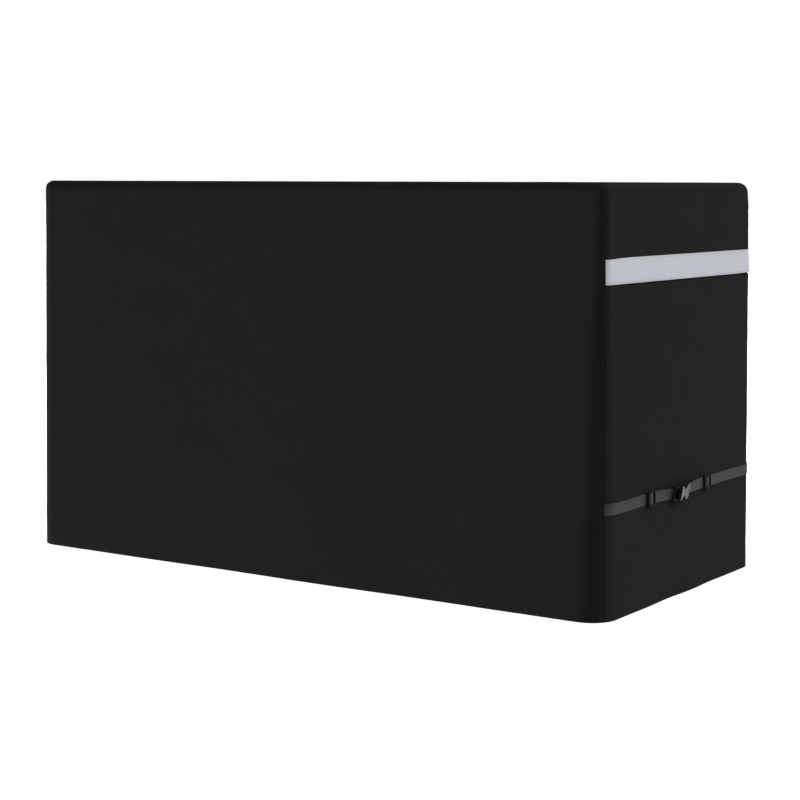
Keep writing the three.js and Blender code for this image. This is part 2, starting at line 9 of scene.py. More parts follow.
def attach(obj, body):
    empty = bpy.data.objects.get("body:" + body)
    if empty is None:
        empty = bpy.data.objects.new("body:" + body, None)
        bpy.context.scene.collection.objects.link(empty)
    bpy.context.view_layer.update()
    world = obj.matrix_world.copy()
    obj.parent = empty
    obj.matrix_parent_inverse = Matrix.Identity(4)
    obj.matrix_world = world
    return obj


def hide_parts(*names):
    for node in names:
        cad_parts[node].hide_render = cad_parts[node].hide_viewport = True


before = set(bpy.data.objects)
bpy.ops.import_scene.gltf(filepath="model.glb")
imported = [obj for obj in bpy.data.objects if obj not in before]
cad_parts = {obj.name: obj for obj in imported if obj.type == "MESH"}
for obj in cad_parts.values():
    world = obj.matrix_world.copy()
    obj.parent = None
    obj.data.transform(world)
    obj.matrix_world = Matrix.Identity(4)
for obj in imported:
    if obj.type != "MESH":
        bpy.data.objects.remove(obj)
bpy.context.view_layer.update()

BODY = "root"

# Driving dimensions of the box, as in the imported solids
HEIGHT = 0.935
TOP_LENGTH = 1.620
TOP_DEPTH = 0.774
HEM_FLARE = 0.0153
CORNER_RADIUS_TOP = 0.045
CORNER_RADIUS_HEM = 0.063
FRONT_CORNER_TOP = 0.022  # the front right corner is drawn tighter at its top than the others
TOP_EDGE_RADIUS = 0.020
TOP_SAG = 0.004
TOP_CLOTH = 0.002
FRONT_WRAP = math.radians(54)
END_WRAP = math.pi / 2 - FRONT_WRAP
TOP_SEAM_LIFT = math.radians(65)
SEAM_HALF_GAP = 0.00015
SEAM_HALF_LIFT = 0.008
FRONT_BOW = 0.003
FRONT_RIPPLE = 0.0025
END_PUFF = 0.003
END_RIPPLE = 0.002
WAVES = 2.6
RIPPLE_PHASE = 0.7
END_RIPPLE_TOP = 0.21  # a share of the height, as the next two are
END_PUFF_LOW = 0.29
END_PUFF_HIGH = 0.74
DROOP = 0.0065  # how far the back right corner of the top has sunk in
DROOP_OVER = 0.040

# Band, webbing and the places of the hardware
BAND_WIDTH = 0.056
BAND_MIDDLE = 0.8 * HEIGHT
BAND_CLOTH = 0.0007
WEB_WIDTH = 0.0254
WEB = 0.0014
GAP = 0.0003
STRAP_MIDDLE = 0.26 * HEIGHT
BUCKLE_PLACE = -0.042
BAR_PLACE = 0.030
SLIDER_PLACES = {"front": -0.180, "back": 0.112}
LEAN = math.radians(11)
LEAN_LIFT = 0.0033
LEAN_DROP = 0.0025

# How the stiff band lies, and how it pulls at the wall behind it
BAND_PROUD = 0.0022  # how far it draws the wall out along its lower edge
BAND_FADE = 0.014
FOLD_DEPTH = 0.0038
FOLD_BELOW = 0.0012  # under the band's lower edge
FOLD_HALF = 0.0026
FOLD_UNEVEN = 0.25
FOLD_UNEVEN_LENGTH = 0.16
BAND_STEP = 0.003
BAND_FOLD_STEPS = 6
BAND_STITCH = 0.0040  # from the band's edge to its stitches
BAND_GROOVE = 0.00018  # depth of the dent along its stitches
BAND_GROOVE_HALF = 0.0012
BAND_DIP = 0.0026  # how far its upper edge comes down at the front seam
BAND_DIP_OVER = 0.150
BAND_RISE = 0.0022  # how far its lower edge goes up at the back seam
BAND_RISE_OVER = 0.140
BAND_RAISED = 0.0005  # how far its lower edge is up all along
BAND_STAND_OFF = 0.0016  # how far its lower edge stands off the wall
BAND_LOOSE = 0.0075

Z_TOP = TOP_CLOTH + TOP_SAG
Z_HEM = Z_TOP - HEIGHT
Z_BAND = Z_HEM + BAND_MIDDLE
Z_STRAP = Z_HEM + STRAP_MIDDLE
EDGE_START = Z_TOP - TOP_EDGE_RADIUS
DROOPING_CORNER = np.array([TOP_LENGTH / 2, TOP_DEPTH / 2, Z_TOP])

# Cloth as it is sewn
SHEET = 0.0009
SEAM_ROLL = 0.0010
SEAM_ALLOWANCE = 0.008
HEM_FOLD = 0.0011  # radius of the fold along the hem
HEM_TURNED_IN = 0.0285
HEM_STITCH_HEIGHT = 0.0245
SEAM_STITCH_DISTANCE = 0.0055
STITCH_PITCH = 0.0040
STITCH_LENGTH = 0.0031
STITCH_RISE = 0.0004
STITCH_SHAPE = (
    {"share": 0.0, "width": 0.35, "height": -0.6},
    {"share": 0.18, "width": 0.95, "height": 0.55},
    {"share": 0.5, "width": 1.0, "height": 1.0},
    {"share": 0.82, "width": 0.95, "height": 0.55},
    {"share": 1.0, "width": 0.35, "height": -0.6},
)
THREAD_THICKNESS = 0.00055
THREAD_SIDES = 6
ON_CLOTH = 0.0001

# Fine unevenness: bumps all over, and puckers along the lines of stitches
SEEDS = {"front": 11, "right": 23, "fold": 28, "back": 37, "left": 41, "top": 53}
NOISE_WAVES = 9
NOISE_SPREAD = (0.7, 1.6)
WALL_BUMPS = ({"height": 0.00030, "length": 0.110}, {"height": 0.00012, "length": 0.045})
TOP_BUMPS = ({"height": 0.0008, "length": 0.26}, {"height": 0.0003, "length": 0.09})
TOP_BUMPS_GROW = (0.012, 0.09)  # distances in from the edge
PUCKERS = {
    "hem": {"height": 0.00028, "pitch": 0.027, "reach": 0.013},
    "seam": {"height": 0.00016, "pitch": 0.023, "reach": 0.011},
    "top": {"height": 0.00012, "pitch": 0.024, "reach": 0.014},
}
PUCKER_DRIFT = 0.006
PUCKER_DRIFT_LENGTH = 0.20

# Distances between the points of the meshes, and the zones near the hem and the top that have more
MIDDLE_STEP = 0.0075
EDGE_STEP = 0.0027
INSIDE_STEP = 0.0045
UPPER_STEP = 0.0035
TOP_STEP = 0.0085
LIFT_STEP = 0.10
STRAP_STEP = 0.003
HEM_ZONE = 0.045
UPPER_ZONE = 0.025
HEM_FOLD_STEPS = 8
ROLL_STEPS = 4
ALLOWANCE_STEPS = 3
TOP_RIM = (0, 0.0012, 0.0025, 0.004, 0.006, 0.0085, 0.0115, 0.0155, 0.020, 0.026)
TOP_RIM_GAP = 0.002

# Each wall's heading, whether it runs along the length, and which of its halves, -1 or 1, ends in the
# tight corner
SIDES = {
    "right": {"heading": 0.0, "lengthwise": False, "tight": -1},
    "back": {"heading": math.pi / 2, "lengthwise": True, "tight": 0},
    "left": {"heading": math.pi, "lengthwise": False, "tight": 0},
    "front": {"heading": -math.pi / 2, "lengthwise": True, "tight": 1},
}


# Shape of the walls and the top


def plan_at(z):
    """Half length, half depth and corner radius of the box at a height."""
    down = (Z_TOP - z) / HEIGHT
    radius = CORNER_RADIUS_TOP + (CORNER_RADIUS_HEM - CORNER_RADIUS_TOP) * down
    return TOP_LENGTH / 2 + HEM_FLARE * down, TOP_DEPTH / 2 + HEM_FLARE * down, radius


def corner_radius(z, tight):
    """Radius of a corner at a height. The tight corner is the front right one."""
    top = np.where(tight, FRONT_CORNER_TOP, CORNER_RADIUS_TOP)
    return top + (CORNER_RADIUS_HEM - top) * (Z_TOP - z) / HEIGHT


def at_tight_corner(side, along):
    """Whether places on a wall belong to the half that ends in the tight corner."""
    return (np.asarray(along) * SIDES[side]["tight"]) > 0


def span_of(side, z):
    """Half the width of a wall at a height, out to the planes of its neighbours."""
    return plan_at(z)[0 if SIDES[side]["lengthwise"] else 1]


def wrap_of(side):
    return FRONT_WRAP if SIDES[side]["lengthwise"] else END_WRAP


def across_of(side, along, turn, z):
    """The distance from a wall's middle of a place on it, measured on the cloth and round the corner."""
    radius = corner_radius(z, at_tight_corner(side, along))
    return along * (span_of(side, z) - radius) + np.sign(along) * turn * radius


def along_and_turn(side, across, z):
    """The other way round: the place along the flat, and the turn round the corner."""
    radius = corner_radius(z, at_tight_corner(side, across))
    flat = span_of(side, z) - radius
    return np.clip(across / flat, -1, 1), np.maximum(np.abs(across) - flat, 0) / radius


def smoothstep(value, low, high):
    share = np.clip((value - low) / (high - low), 0, 1)
    return share * share * (3 - 2 * share)


def hump(share, low, high):
    inside = np.clip((share - low) / (high - low), 0, 1)
    return np.sin(math.pi * inside) ** 2


def unevenness(side, along, z):
    """How far a wall stands out from its plane, the same as on the solids."""
    share = (z - Z_HEM) / HEIGHT
    across = (1 - along**2) ** 2
    wave = np.sin(WAVES * math.pi * along + RIPPLE_PHASE)
    if side == "right":
        ripple = END_RIPPLE * wave * np.clip(1 - share / END_RIPPLE_TOP, 0, 1)
        return across * (END_PUFF * hump(share, END_PUFF_LOW, END_PUFF_HIGH) + ripple)
    return across * (FRONT_RIPPLE * wave * (1 - share) ** 2 - FRONT_BOW * hump(share, 0, 1))


def soft_noise(x, y, wavelength, seed):
    """A smooth uneven field of about -1 to 1 with bumps of about one wavelength."""
    rng = np.random.default_rng(seed)
    total = np.zeros(np.broadcast(x, y).shape)
    for _ in range(NOISE_WAVES):
        heading, phase = rng.uniform(0, 2 * math.pi, 2)
        pitch = 2 * math.pi / (wavelength * rng.uniform(*NOISE_SPREAD))
        total += np.sin(pitch * (x * math.cos(heading) + y * math.sin(heading)) + phase)
    return total / math.sqrt(2 * NOISE_WAVES)


def bumps(x, y, sizes, seed):
    """Soft bumps of a few sizes, one on the other."""
    return sum(row["height"] * soft_noise(x, y, row["length"], seed + n) for n, row in enumerate(sizes))


def pucker(kind, run, away):
    """The cloth drawn into small waves along a line of stitches that lies some distance away."""
    row = PUCKERS[kind]
    return row["height"] * (np.sin(2 * math.pi * run / row["pitch"]) * np.exp(-((away / row["reach"]) ** 2)))


def pull(s, t):
    """How the stiff band pulls at the wall: it stands proud along the band's lower edge, and is drawn into
    a narrow fold just under it."""
    below = Z_BAND - BAND_WIDTH / 2 - Z_HEM - t
    proud = smoothstep(-below, -BAND_FADE, 0) * (1 - smoothstep(-below, 0, BAND_WIDTH))
    uneven = soft_noise(s, 0 * t, FOLD_UNEVEN_LENGTH, SEEDS["fold"])
    depth = FOLD_DEPTH * (1 + FOLD_UNEVEN * uneven)
    return BAND_PROUD * proud - depth * np.exp(-(((below - FOLD_BELOW) / FOLD_HALF) ** 2))


def relief(side, s, t, seam_gap):
    """Fine unevenness of a sewn wall: s runs across it, t up from the hem, seam_gap is the distance from
    the nearer corner seam."""
    seed = SEEDS[side]
    drift = PUCKER_DRIFT * soft_noise(s, t, PUCKER_DRIFT_LENGTH, seed + len(WALL_BUMPS))
    fine = bumps(s, t, WALL_BUMPS, seed) + pucker("hem", s + drift, t - HEM_STITCH_HEIGHT)
    fine = fine + pucker("seam", t + drift, seam_gap)
    fine = fine + pucker("top", s + drift, np.maximum(HEIGHT - TOP_EDGE_RADIUS - t, 0))
    return fine + (pull(s, t) if side == "right" else 0)


def drooped(points):
    """Points with those near the back right corner of the top moved in towards the box."""
    away = np.linalg.norm(points - DROOPING_CORNER, axis=-1)
    return points - (DROOP / math.sqrt(3)) * np.exp(-((away / DROOP_OVER) ** 2))[..., None]


def wall_points(side, along, turn, z, lift, out):
    """Points of a wall with its drooping corner."""
    return drooped(even_wall_points(side, along, turn, z, lift, out))


def even_wall_points(side, along, turn, z, lift, out):
    """Points of a wall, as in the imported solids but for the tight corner, with the fine relief added.
    All the arguments may be arrays; the last axis of the result holds x, y and z."""
    along, turn, z, lift, out = np.broadcast_arrays(along, turn, z, lift, out)
    half_length, half_depth, _ = plan_at(z)
    radius = corner_radius(z, at_tight_corner(side, along))
    wall = SIDES[side]
    reach, span = (half_depth, half_length) if wall["lengthwise"] else (half_length, half_depth)
    heading = wall["heading"]
    outward = np.array([math.cos(heading), math.sin(heading), 0.0])
    sideways = np.array([-math.sin(heading), math.cos(heading), 0.0])
    s = across_of(side, along, turn, z)
    seam_gap = span - radius + wrap_of(side) * radius - np.abs(s)
    fine = relief(side, s, z - Z_HEM + lift * TOP_EDGE_RADIUS, seam_gap)
    flat = np.where((turn == 0) & (lift == 0), unevenness(side, along, z), 0)
    from_axis = TOP_EDGE_RADIUS + out + fine
    reach_out = radius - TOP_EDGE_RADIUS + from_axis * np.cos(lift)
    forward = reach - radius + reach_out * np.cos(turn) + flat
    beside = along * (span - radius) + np.sign(along) * reach_out * np.sin(turn)
    point = forward[..., None] * outward + beside[..., None] * sideways
    point[..., 2] = z + from_axis * np.sin(lift)
    return point


# Meshes


def new_object(name, mesh):
    made = bpy.data.objects.new(name, mesh)
    bpy.context.scene.collection.objects.link(made)
    return made


def grid_faces(rows, columns):
    index = np.arange(rows * columns).reshape(rows, columns)
    quads = np.stack([index[:-1, :-1], index[:-1, 1:], index[1:, 1:], index[1:, :-1]], axis=-1)
    return quads.reshape(-1, 4)


def ring_faces(rings, sides):
    """Faces between closed rings of points."""
    index = np.arange(rings * sides).reshape(rings, sides)
    after = np.roll(index, -1, axis=1)
    return np.stack([index[:-1], after[:-1], after[1:], index[1:]], axis=-1).reshape(-1, 4)


def tube_faces(rings, sides):
    """Faces of a tube of closed rings with both its ends closed."""
    ends = [list(range(sides))[::-1], list(range((rings - 1) * sides, rings * sides))]
    return ring_faces(rings, sides).tolist() + ends


def mesh_object(name, points, faces, uv=None):
    """An object from arrays of points and faces, with a place on the cloth in metres for each point."""
    mesh = bpy.data.meshes.new(name)
    mesh.from_pydata(points.reshape(-1, 3).tolist(), [], [list(face) for face in faces])
    if uv is not None:
        layer = mesh.uv_layers.new(name="cloth")
        corners = np.empty(len(mesh.loops), dtype=np.int64)
        mesh.loops.foreach_get("vertex_index", corners)
        layer.data.foreach_set("uv", uv.reshape(-1, 2)[corners].astype(np.float32).ravel())
    mesh.polygons.foreach_set("use_smooth", [True] * len(mesh.polygons))
    mesh.update()
    return new_object(name, mesh)


def weld(piece, distance=2e-6):
    """Joins points that lie on one another and drops the faces that this leaves without area."""
    work = bmesh.new()
    work.from_mesh(piece.data)
    bmesh.ops.remove_doubles(work, verts=work.verts, dist=distance)
    bmesh.ops.dissolve_degenerate(work, dist=distance, edges=work.edges)
    work.to_mesh(piece.data)
    work.free()
    return piece


def thicken(piece, thickness):
    """Gives a sheet its thickness, inward from its outer face."""
    solid = piece.modifiers.new("thickness", "SOLIDIFY")
    solid.thickness = thickness
    solid.offset = -1
    solid.use_even_offset = False
    return piece


def spread(low, high, step):
    return np.linspace(low, high, max(2, round(abs(high - low) / step) + 1))


def rolled_edge():
    """How an edge rolls into its seam: distances back from the seam, and depths under the face."""
    bend = np.linspace(0, math.pi / 2, ROLL_STEPS + 1)[1:]
    back = SEAM_ROLL * (1 - np.sin(bend))
    depth = SEAM_ROLL * (1 - np.cos(bend))
    tail = np.linspace(SEAM_ROLL, SEAM_ALLOWANCE, ALLOWANCE_STEPS + 1)[1:]
    return np.concatenate([back, 0 * tail]), np.concatenate([depth, tail])


def joined(*groups):
    """Groups of rows or columns put one after the other. Each group gives all the measures of its rows,
    as arrays or as single numbers."""
    return np.hstack([np.stack(np.broadcast_arrays(*group)) for group in groups])


def seam_turn(side, along, z, lift, back=0.0):
    """How far round the corner a place lies that is some distance back from the corner seam."""
    radius = corner_radius(z, at_tight_corner(side, along))
    reach_out = radius - TOP_EDGE_RADIUS * (1 - np.cos(lift))
    return wrap_of(side) - (SEAM_HALF_GAP + back) / reach_out


def wall_columns(side):
    """The columns of a wall panel from one corner seam to the other: the place along the flat, the share
    of the way round the corner, the distance back from the seam, and the depth under the face."""
    radius = plan_at(Z_STRAP)[2]
    flat_half = span_of(side, Z_STRAP) - radius
    corner = spread(0, 1, EDGE_STEP / (wrap_of(side) * radius))[1:]
    edge = joined((1, corner, SEAM_ROLL, 0), (1, 1, *rolled_edge()))
    flat = spread(-flat_half, flat_half, MIDDLE_STEP) / flat_half
    return joined(edge[:, ::-1] * [[-1], [1], [1], [1]], (flat, 0, 0, 0), edge)


def wall_rows(side):
    """Height, lift, depth and share of the seam allowance of each row of a wall panel, from the hem's
    turned-in edge round the hem and up to the allowance of the top seam."""
    inside = spread(Z_HEM + HEM_TURNED_IN, Z_HEM + HEM_FOLD, INSIDE_STEP)
    fold = np.linspace(math.pi, 0, HEM_FOLD_STEPS + 1)[1:-1]
    fold_depth = HEM_FOLD * (1 - np.cos(fold))
    fine = spread(Z_HEM + HEM_FOLD, Z_HEM + HEM_ZONE, EDGE_STEP)
    middle = spread(Z_HEM + HEM_ZONE, EDGE_START - UPPER_ZONE, MIDDLE_STEP)[1:]
    if side == "right":
        band_low = Z_BAND - BAND_WIDTH / 2
        pulled = spread(band_low - BAND_FADE, band_low + 2 * FOLD_HALF, FOLD_HALF / 3)
        clear = (middle < pulled[0] - FOLD_HALF) | (middle > pulled[-1] + FOLD_HALF)
        middle = np.sort(np.concatenate([middle[clear], pulled]))
    upper = spread(EDGE_START - UPPER_ZONE, EDGE_START, UPPER_STEP)[1:]
    seam = TOP_SEAM_LIFT - SEAM_HALF_LIFT
    lift = spread(0, seam - SEAM_ROLL / TOP_EDGE_RADIUS, LIFT_STEP)[1:]
    roll_back, roll_depth = rolled_edge()
    layer = 2 * HEM_FOLD
    return joined(
        (inside, 0, layer, 0),
        (Z_HEM + HEM_FOLD - HEM_FOLD * np.sin(fold), 0, fold_depth, 1 - fold_depth / layer),
        (np.concatenate([fine, middle, upper]), 0, 0, 1),
        (EDGE_START, lift, 0, 1),
        (EDGE_START, seam - roll_back / TOP_EDGE_RADIUS, roll_depth, 1 - roll_depth / SEAM_ALLOWANCE),
    )


def wall_panel(name, side):
    along, share, back, side_depth = wall_columns(side)
    z, lift, depth, allowance = wall_rows(side)[..., None]
    out = -(depth + side_depth * allowance)
    turn = share * seam_turn(side, along, z, lift, back)
    points = wall_points(side, along, turn, z, lift, out)
    radius = plan_at(Z_STRAP)[2]
    flat_half = span_of(side, Z_STRAP) - radius
    u = along * flat_half + np.sign(along) * (share * (wrap_of(side) * radius - back) + side_depth)
    v = (z - Z_HEM) + lift * TOP_EDGE_RADIUS
    turned_in = np.arange(len(z))[:, None] < np.argmin(z)
    v = np.where(turned_in, -v, v) + np.where(lift > 0, depth, 0)
    uv = np.stack(np.broadcast_arrays(u, v), axis=-1)
    panel = mesh_object(name, points, grid_faces(len(z), len(along)), uv)
    return thicken(weld(panel), SHEET)


def top_outline_shape(x, y):
    """For places on the top: the nearest point of the flat part, the direction from there out to the wall,
    the distance in from the wall, and the radius of the corner that the place belongs to."""
    half_length, half_depth, _ = plan_at(EDGE_START)
    radius = corner_radius(EDGE_START, (x > 0) & (y < 0))
    near_x = np.clip(x, radius - half_length, half_length - radius)
    near_y = np.clip(y, radius - half_depth, half_depth - radius)
    near = np.stack([near_x, near_y], axis=-1)
    away = np.stack([x, y], axis=-1) - near
    distance = np.linalg.norm(away, axis=-1)
    inside = np.minimum(half_length - np.abs(x), half_depth - np.abs(y))
    inset = np.where(distance > 0, radius - distance, inside)
    return near, away / np.maximum(distance, 1e-9)[..., None], inset, radius


def top_height(x, y):
    """Height of the top's outer face over a place inside its edge."""
    inset = top_outline_shape(x, y)[2]
    fall = np.clip(1 - inset / TOP_EDGE_RADIUS, 0, 1)
    rounded = EDGE_START + TOP_EDGE_RADIUS * np.sqrt(1 - fall**2)
    across_x = np.clip(1 - (x / (TOP_LENGTH / 2 - TOP_EDGE_RADIUS)) ** 2, 0, 1)
    across_y = np.clip(1 - (y / (TOP_DEPTH / 2 - TOP_EDGE_RADIUS)) ** 2, 0, 1)
    sag = TOP_SAG * across_x * across_y
    soft = bumps(x, y, TOP_BUMPS, SEEDS["top"])
    return rounded - sag + soft * smoothstep(inset, *TOP_BUMPS_GROW)


def top_columns(half, corner):
    """Places across the top from one edge to the other, closer together near the edges."""
    rim = half - np.array(TOP_RIM)
    inner = spread(-(half - corner), half - corner, TOP_STEP)
    edge = rim[rim > half - corner + TOP_RIM_GAP]
    return np.concatenate([-edge, inner, edge[::-1]])


def top_panel(name):
    """The top: a grid whose corners are drawn round, and rings that roll its edge into the seam."""
    half_length, half_depth, radius = plan_at(EDGE_START)
    seam = TOP_SEAM_LIFT + SEAM_HALF_LIFT + SEAM_ROLL / TOP_EDGE_RADIUS
    inset = TOP_EDGE_RADIUS * (1 - math.cos(seam))
    corner = radius - inset
    xs = top_columns(half_length - inset, corner)
    ys = top_columns(half_depth - inset, corner)
    x, y = np.meshgrid(xs, ys)
    radius = corner_radius(EDGE_START, (x > 0) & (y < 0))
    corner = radius - inset
    flat_x = half_length - radius
    flat_y = half_depth - radius
    a = np.clip((np.abs(x) - flat_x) / corner, 0, 1)
    b = np.clip((np.abs(y) - flat_y) / corner, 0, 1)
    reach = np.maximum(a, b)
    with np.errstate(divide="ignore", invalid="ignore"):
        angle = np.where(a >= b, math.pi / 4 * b / a, math.pi / 2 - math.pi / 4 * a / b)
    in_corner = (a > 0) & (b > 0)
    round_x = np.sign(x) * (flat_x + corner * reach * np.cos(angle))
    round_y = np.sign(y) * (flat_y + corner * reach * np.sin(angle))
    x = np.where(in_corner, round_x, x)
    y = np.where(in_corner, round_y, y)
    points = np.stack([x, y, top_height(x, y)], axis=-1)
    rows, columns = x.shape
    index = np.arange(rows * columns).reshape(rows, columns)
    loop = np.concatenate([index[0, :-1], index[:-1, -1], index[-1, :0:-1], index[:0:-1, 0]])
    base = points.reshape(-1, 3)[loop]
    near, direction, _, radius = top_outline_shape(base[:, 0], base[:, 1])
    back, depths = rolled_edge()
    lifts = TOP_SEAM_LIFT + SEAM_HALF_LIFT + back / TOP_EDGE_RADIUS
    rings = []
    for lift, depth in zip(lifts, depths):
        from_axis = TOP_EDGE_RADIUS - depth
        reach_out = radius - TOP_EDGE_RADIUS + from_axis * math.cos(lift)
        plan = near + direction * reach_out[:, None]
        height = np.full(len(loop), EDGE_START + from_axis * math.sin(lift))
        rings.append(np.column_stack([plan, height]))
    order = np.concatenate([loop, x.size + np.arange(len(rings) * len(loop))])
    rolled = order[ring_faces(len(rings) + 1, len(loop))[:, [0, 3, 2, 1]]]
    faces = [*grid_faces(rows, columns), *rolled]
    everything = np.concatenate([points.reshape(-1, 3), *rings])
    panel = mesh_object(name, drooped(everything), faces, everything[:, :2])
    return thicken(panel, SHEET)


# Sewing


def stitches(name, places, ups, facings):
    """One joined mesh of sewn stitches: each a small arched thread lying along its direction.
    places, ups (along the stitch) and facings (out of the cloth) are lists of arrays, a row a stitch."""
    places, ups, facings = (np.concatenate(parts) for parts in (places, ups, facings))
    beside = np.cross(facings, ups)
    rings = []
    for row in STITCH_SHAPE:
        centre = places + ups * ((row["share"] - 0.5) * STITCH_LENGTH)
        centre = centre + facings * (row["height"] * STITCH_RISE)
        for angle in np.arange(THREAD_SIDES) * 2 * math.pi / THREAD_SIDES:
            reach = beside * math.cos(angle) + facings * math.sin(angle)
            rings.append(centre + reach * (row["width"] * THREAD_THICKNESS / 2))
    faces = tube_faces(len(STITCH_SHAPE), THREAD_SIDES)
    everything = [[corner + n * len(rings) for corner in face] for n in range(len(places)) for face in faces]
    return mesh_object(name, np.stack(rings, axis=1), everything)


def squared(up, facing):
    """Unit directions nearest to up at right angles to facing."""
    up = up - facing * np.sum(up * facing, axis=-1)[:, None]
    return up / np.linalg.norm(up, axis=-1)[:, None]


def wall_stitches(name, rows):
    """Stitches on the walls. Each row is a line of them: the side, its places as along, turn, z, lift and
    out, and whether the line runs up the wall or across it."""
    places, ups, facings = [], [], []
    step = 0.0004
    for side, along, turn, z, lift, out, upright in rows:
        along, turn, z, lift = np.broadcast_arrays(along, turn, z, lift)
        here = wall_points(side, along, turn, z, lift, out)
        facing = wall_points(side, along, turn, z, lift, out + step) - here
        facing /= np.linalg.norm(facing, axis=-1)[:, None]
        if upright:
            beyond = wall_points(side, along, turn, z + step, lift, out)
        else:
            beyond = np.roll(here, -1, axis=0)
            beyond[-1] = 2 * here[-1] - here[-2]
        places.append(here)
        ups.append(squared(beyond - here, facing))
        facings.append(facing)
    return stitches(name, places, ups, facings)


def across_wall(side, z, inset):
    """Even places across a whole wall at one height, as along and turn."""
    ends = corner_radius(z, at_tight_corner(side, [-1, 1]))
    reach = span_of(side, z) - ends + wrap_of(side) * ends - inset
    return along_and_turn(side, spread(-reach[0], reach[1], STITCH_PITCH), z)


# The webbing's route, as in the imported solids

LAYER_ON_WALL = GAP + WEB / 2
SECOND_LAYER = LAYER_ON_WALL + WEB + GAP
BAR_RADIUS = 0.0018
BAR_HEIGHT = LAYER_ON_WALL + WEB / 2 + GAP + BAR_RADIUS
WRAP_RADIUS = BAR_RADIUS + GAP + WEB / 2
BEND_SHARE = 0.94
SLIDER_HALF_LENGTH = 0.017
SLIDER_RAIL_IN = WEB_WIDTH / 2 + 0.0006
SLIDER_RAIL_OUT = WEB_WIDTH / 2 + 0.0040
SLIDER_OUTER_BAR = 0.0045
SLIDER_MIDDLE_BAR = 0.006
SLIDER_BAR_LOW = SECOND_LAYER + WEB / 2 + GAP
SLIDER_BAR_THICK = 0.0042
SLIDER_MIDDLE_LOW = LAYER_ON_WALL + WEB / 2 + GAP
SLIDER_MIDDLE_THICK = 0.0026
LOOP_OVER_BAR = SLIDER_MIDDLE_LOW + SLIDER_MIDDLE_THICK + GAP + WEB / 2
STRAP_OVER_BAR = LOOP_OVER_BAR + WEB + GAP
BUCKLE_HALF = 0.038
EASY_BEND = 0.012
BEND = 0.004
TIGHT_BEND = 0.003
TAIL_PAST_BAR = 0.0032
LOOP_ROOM = 0.0002
SLOT_ROOM = 0.001
LEAN_CLEAR = 0.004  # how far before the slider the strap lies straight again
OVER_BAR_END = 0.003
ON_LAYER_AGAIN = 0.016
RAMP_BEFORE = 0.004
RAMP_AFTER = 0.005

# The webbing's section and its small wander
EDGE_FULLNESS = 14
WANDER = 0.0004
WANDER_LENGTH = 0.19


def strap_route(slider_at, seam_at):
    """Corners of a strap's path: distance from the buckle's bar, distance from the wall, radius."""
    loop_radius = (LOOP_OVER_BAR - LAYER_ON_WALL) / 2
    loop_end = slider_at + SLIDER_MIDDLE_BAR / 2 + loop_radius + LOOP_ROOM
    slot_end = SLIDER_HALF_LENGTH - SLIDER_OUTER_BAR
    over_bar = BAR_HEIGHT + WRAP_RADIUS
    return [
        (slider_at - TAIL_PAST_BAR, LOOP_OVER_BAR, 0),
        (loop_end, LOOP_OVER_BAR, loop_radius * BEND_SHARE),
        (loop_end, LAYER_ON_WALL, loop_radius * BEND_SHARE),
        (-WRAP_RADIUS, LAYER_ON_WALL, WRAP_RADIUS * BEND_SHARE),
        (-WRAP_RADIUS, over_bar, WRAP_RADIUS * BEND_SHARE),
        (OVER_BAR_END, over_bar, BEND),
        (ON_LAYER_AGAIN, SECOND_LAYER, EASY_BEND),
        (slider_at - slot_end + SLOT_ROOM, SECOND_LAYER, BEND),
        (slider_at - RAMP_BEFORE, STRAP_OVER_BAR, TIGHT_BEND),
        (slider_at + RAMP_AFTER, STRAP_OVER_BAR, TIGHT_BEND),
        (slider_at + slot_end + SLOT_ROOM, LAYER_ON_WALL, BEND),
        (seam_at, LAYER_ON_WALL, 0),
    ]


def rounded_path(corners, bend_steps=8):
    """A path through corners with each corner rounded by its radius."""
    points = []
    for number, (u, o, radius) in enumerate(corners):
        here = np.array([u, o])
        if not radius:
            points.append(here)
            continue
        before = np.array(corners[number - 1][:2]) - here
        after = np.array(corners[number + 1][:2]) - here
        before /= np.linalg.norm(before)
        after /= np.linalg.norm(after)
        half = math.acos(np.clip(before @ after, -1, 1)) / 2
        reach = radius / math.tan(half)
        middle = before + after
        centre = here + middle / np.linalg.norm(middle) * radius / math.sin(half)
        start = here + before * reach - centre
        end = here + after * reach - centre
        first = math.atan2(start[1], start[0])
        sweep = (math.atan2(end[1], end[0]) - first + math.pi) % (2 * math.pi) - math.pi
        for angle in first + sweep * np.linspace(0, 1, bend_steps + 1):
            points.append(centre + radius * np.array([math.cos(angle), math.sin(angle)]))
    return np.array(points)


def refined(path, longest):
    """A path with its long stretches cut into even pieces."""
    pieces = []
    for here, beyond in zip(path[:-1], path[1:]):
        count = max(1, math.ceil(np.linalg.norm(beyond - here) / longest))
        pieces.append(here + (beyond - here) * (np.arange(count) / count)[:, None])
    return np.concatenate([*pieces, path[-1:]])


def lean_share(u, slider_at):
    """How far a place on the strap leans with the buckle: 1 at the buckle and 0 at the slider."""
    straight = slider_at - SLIDER_HALF_LENGTH - LEAN_CLEAR
    return 1 - smoothstep(u, BUCKLE_HALF - BAR_PLACE, straight)


def webbing_section(points_across=22):
    """Cross-section of the webbing: places up its width and out from its middle, closed, with full edges."""
    ups = np.cos(np.linspace(0, math.pi, points_across))
    half = np.sqrt(np.clip(1 - np.abs(ups) ** EDGE_FULLNESS, 0, 1))
    up = np.concatenate([ups, ups[-2:0:-1]]) * WEB_WIDTH / 2
    out = np.concatenate([half, -half[-2:0:-1]]) * WEB / 2
    return up, out


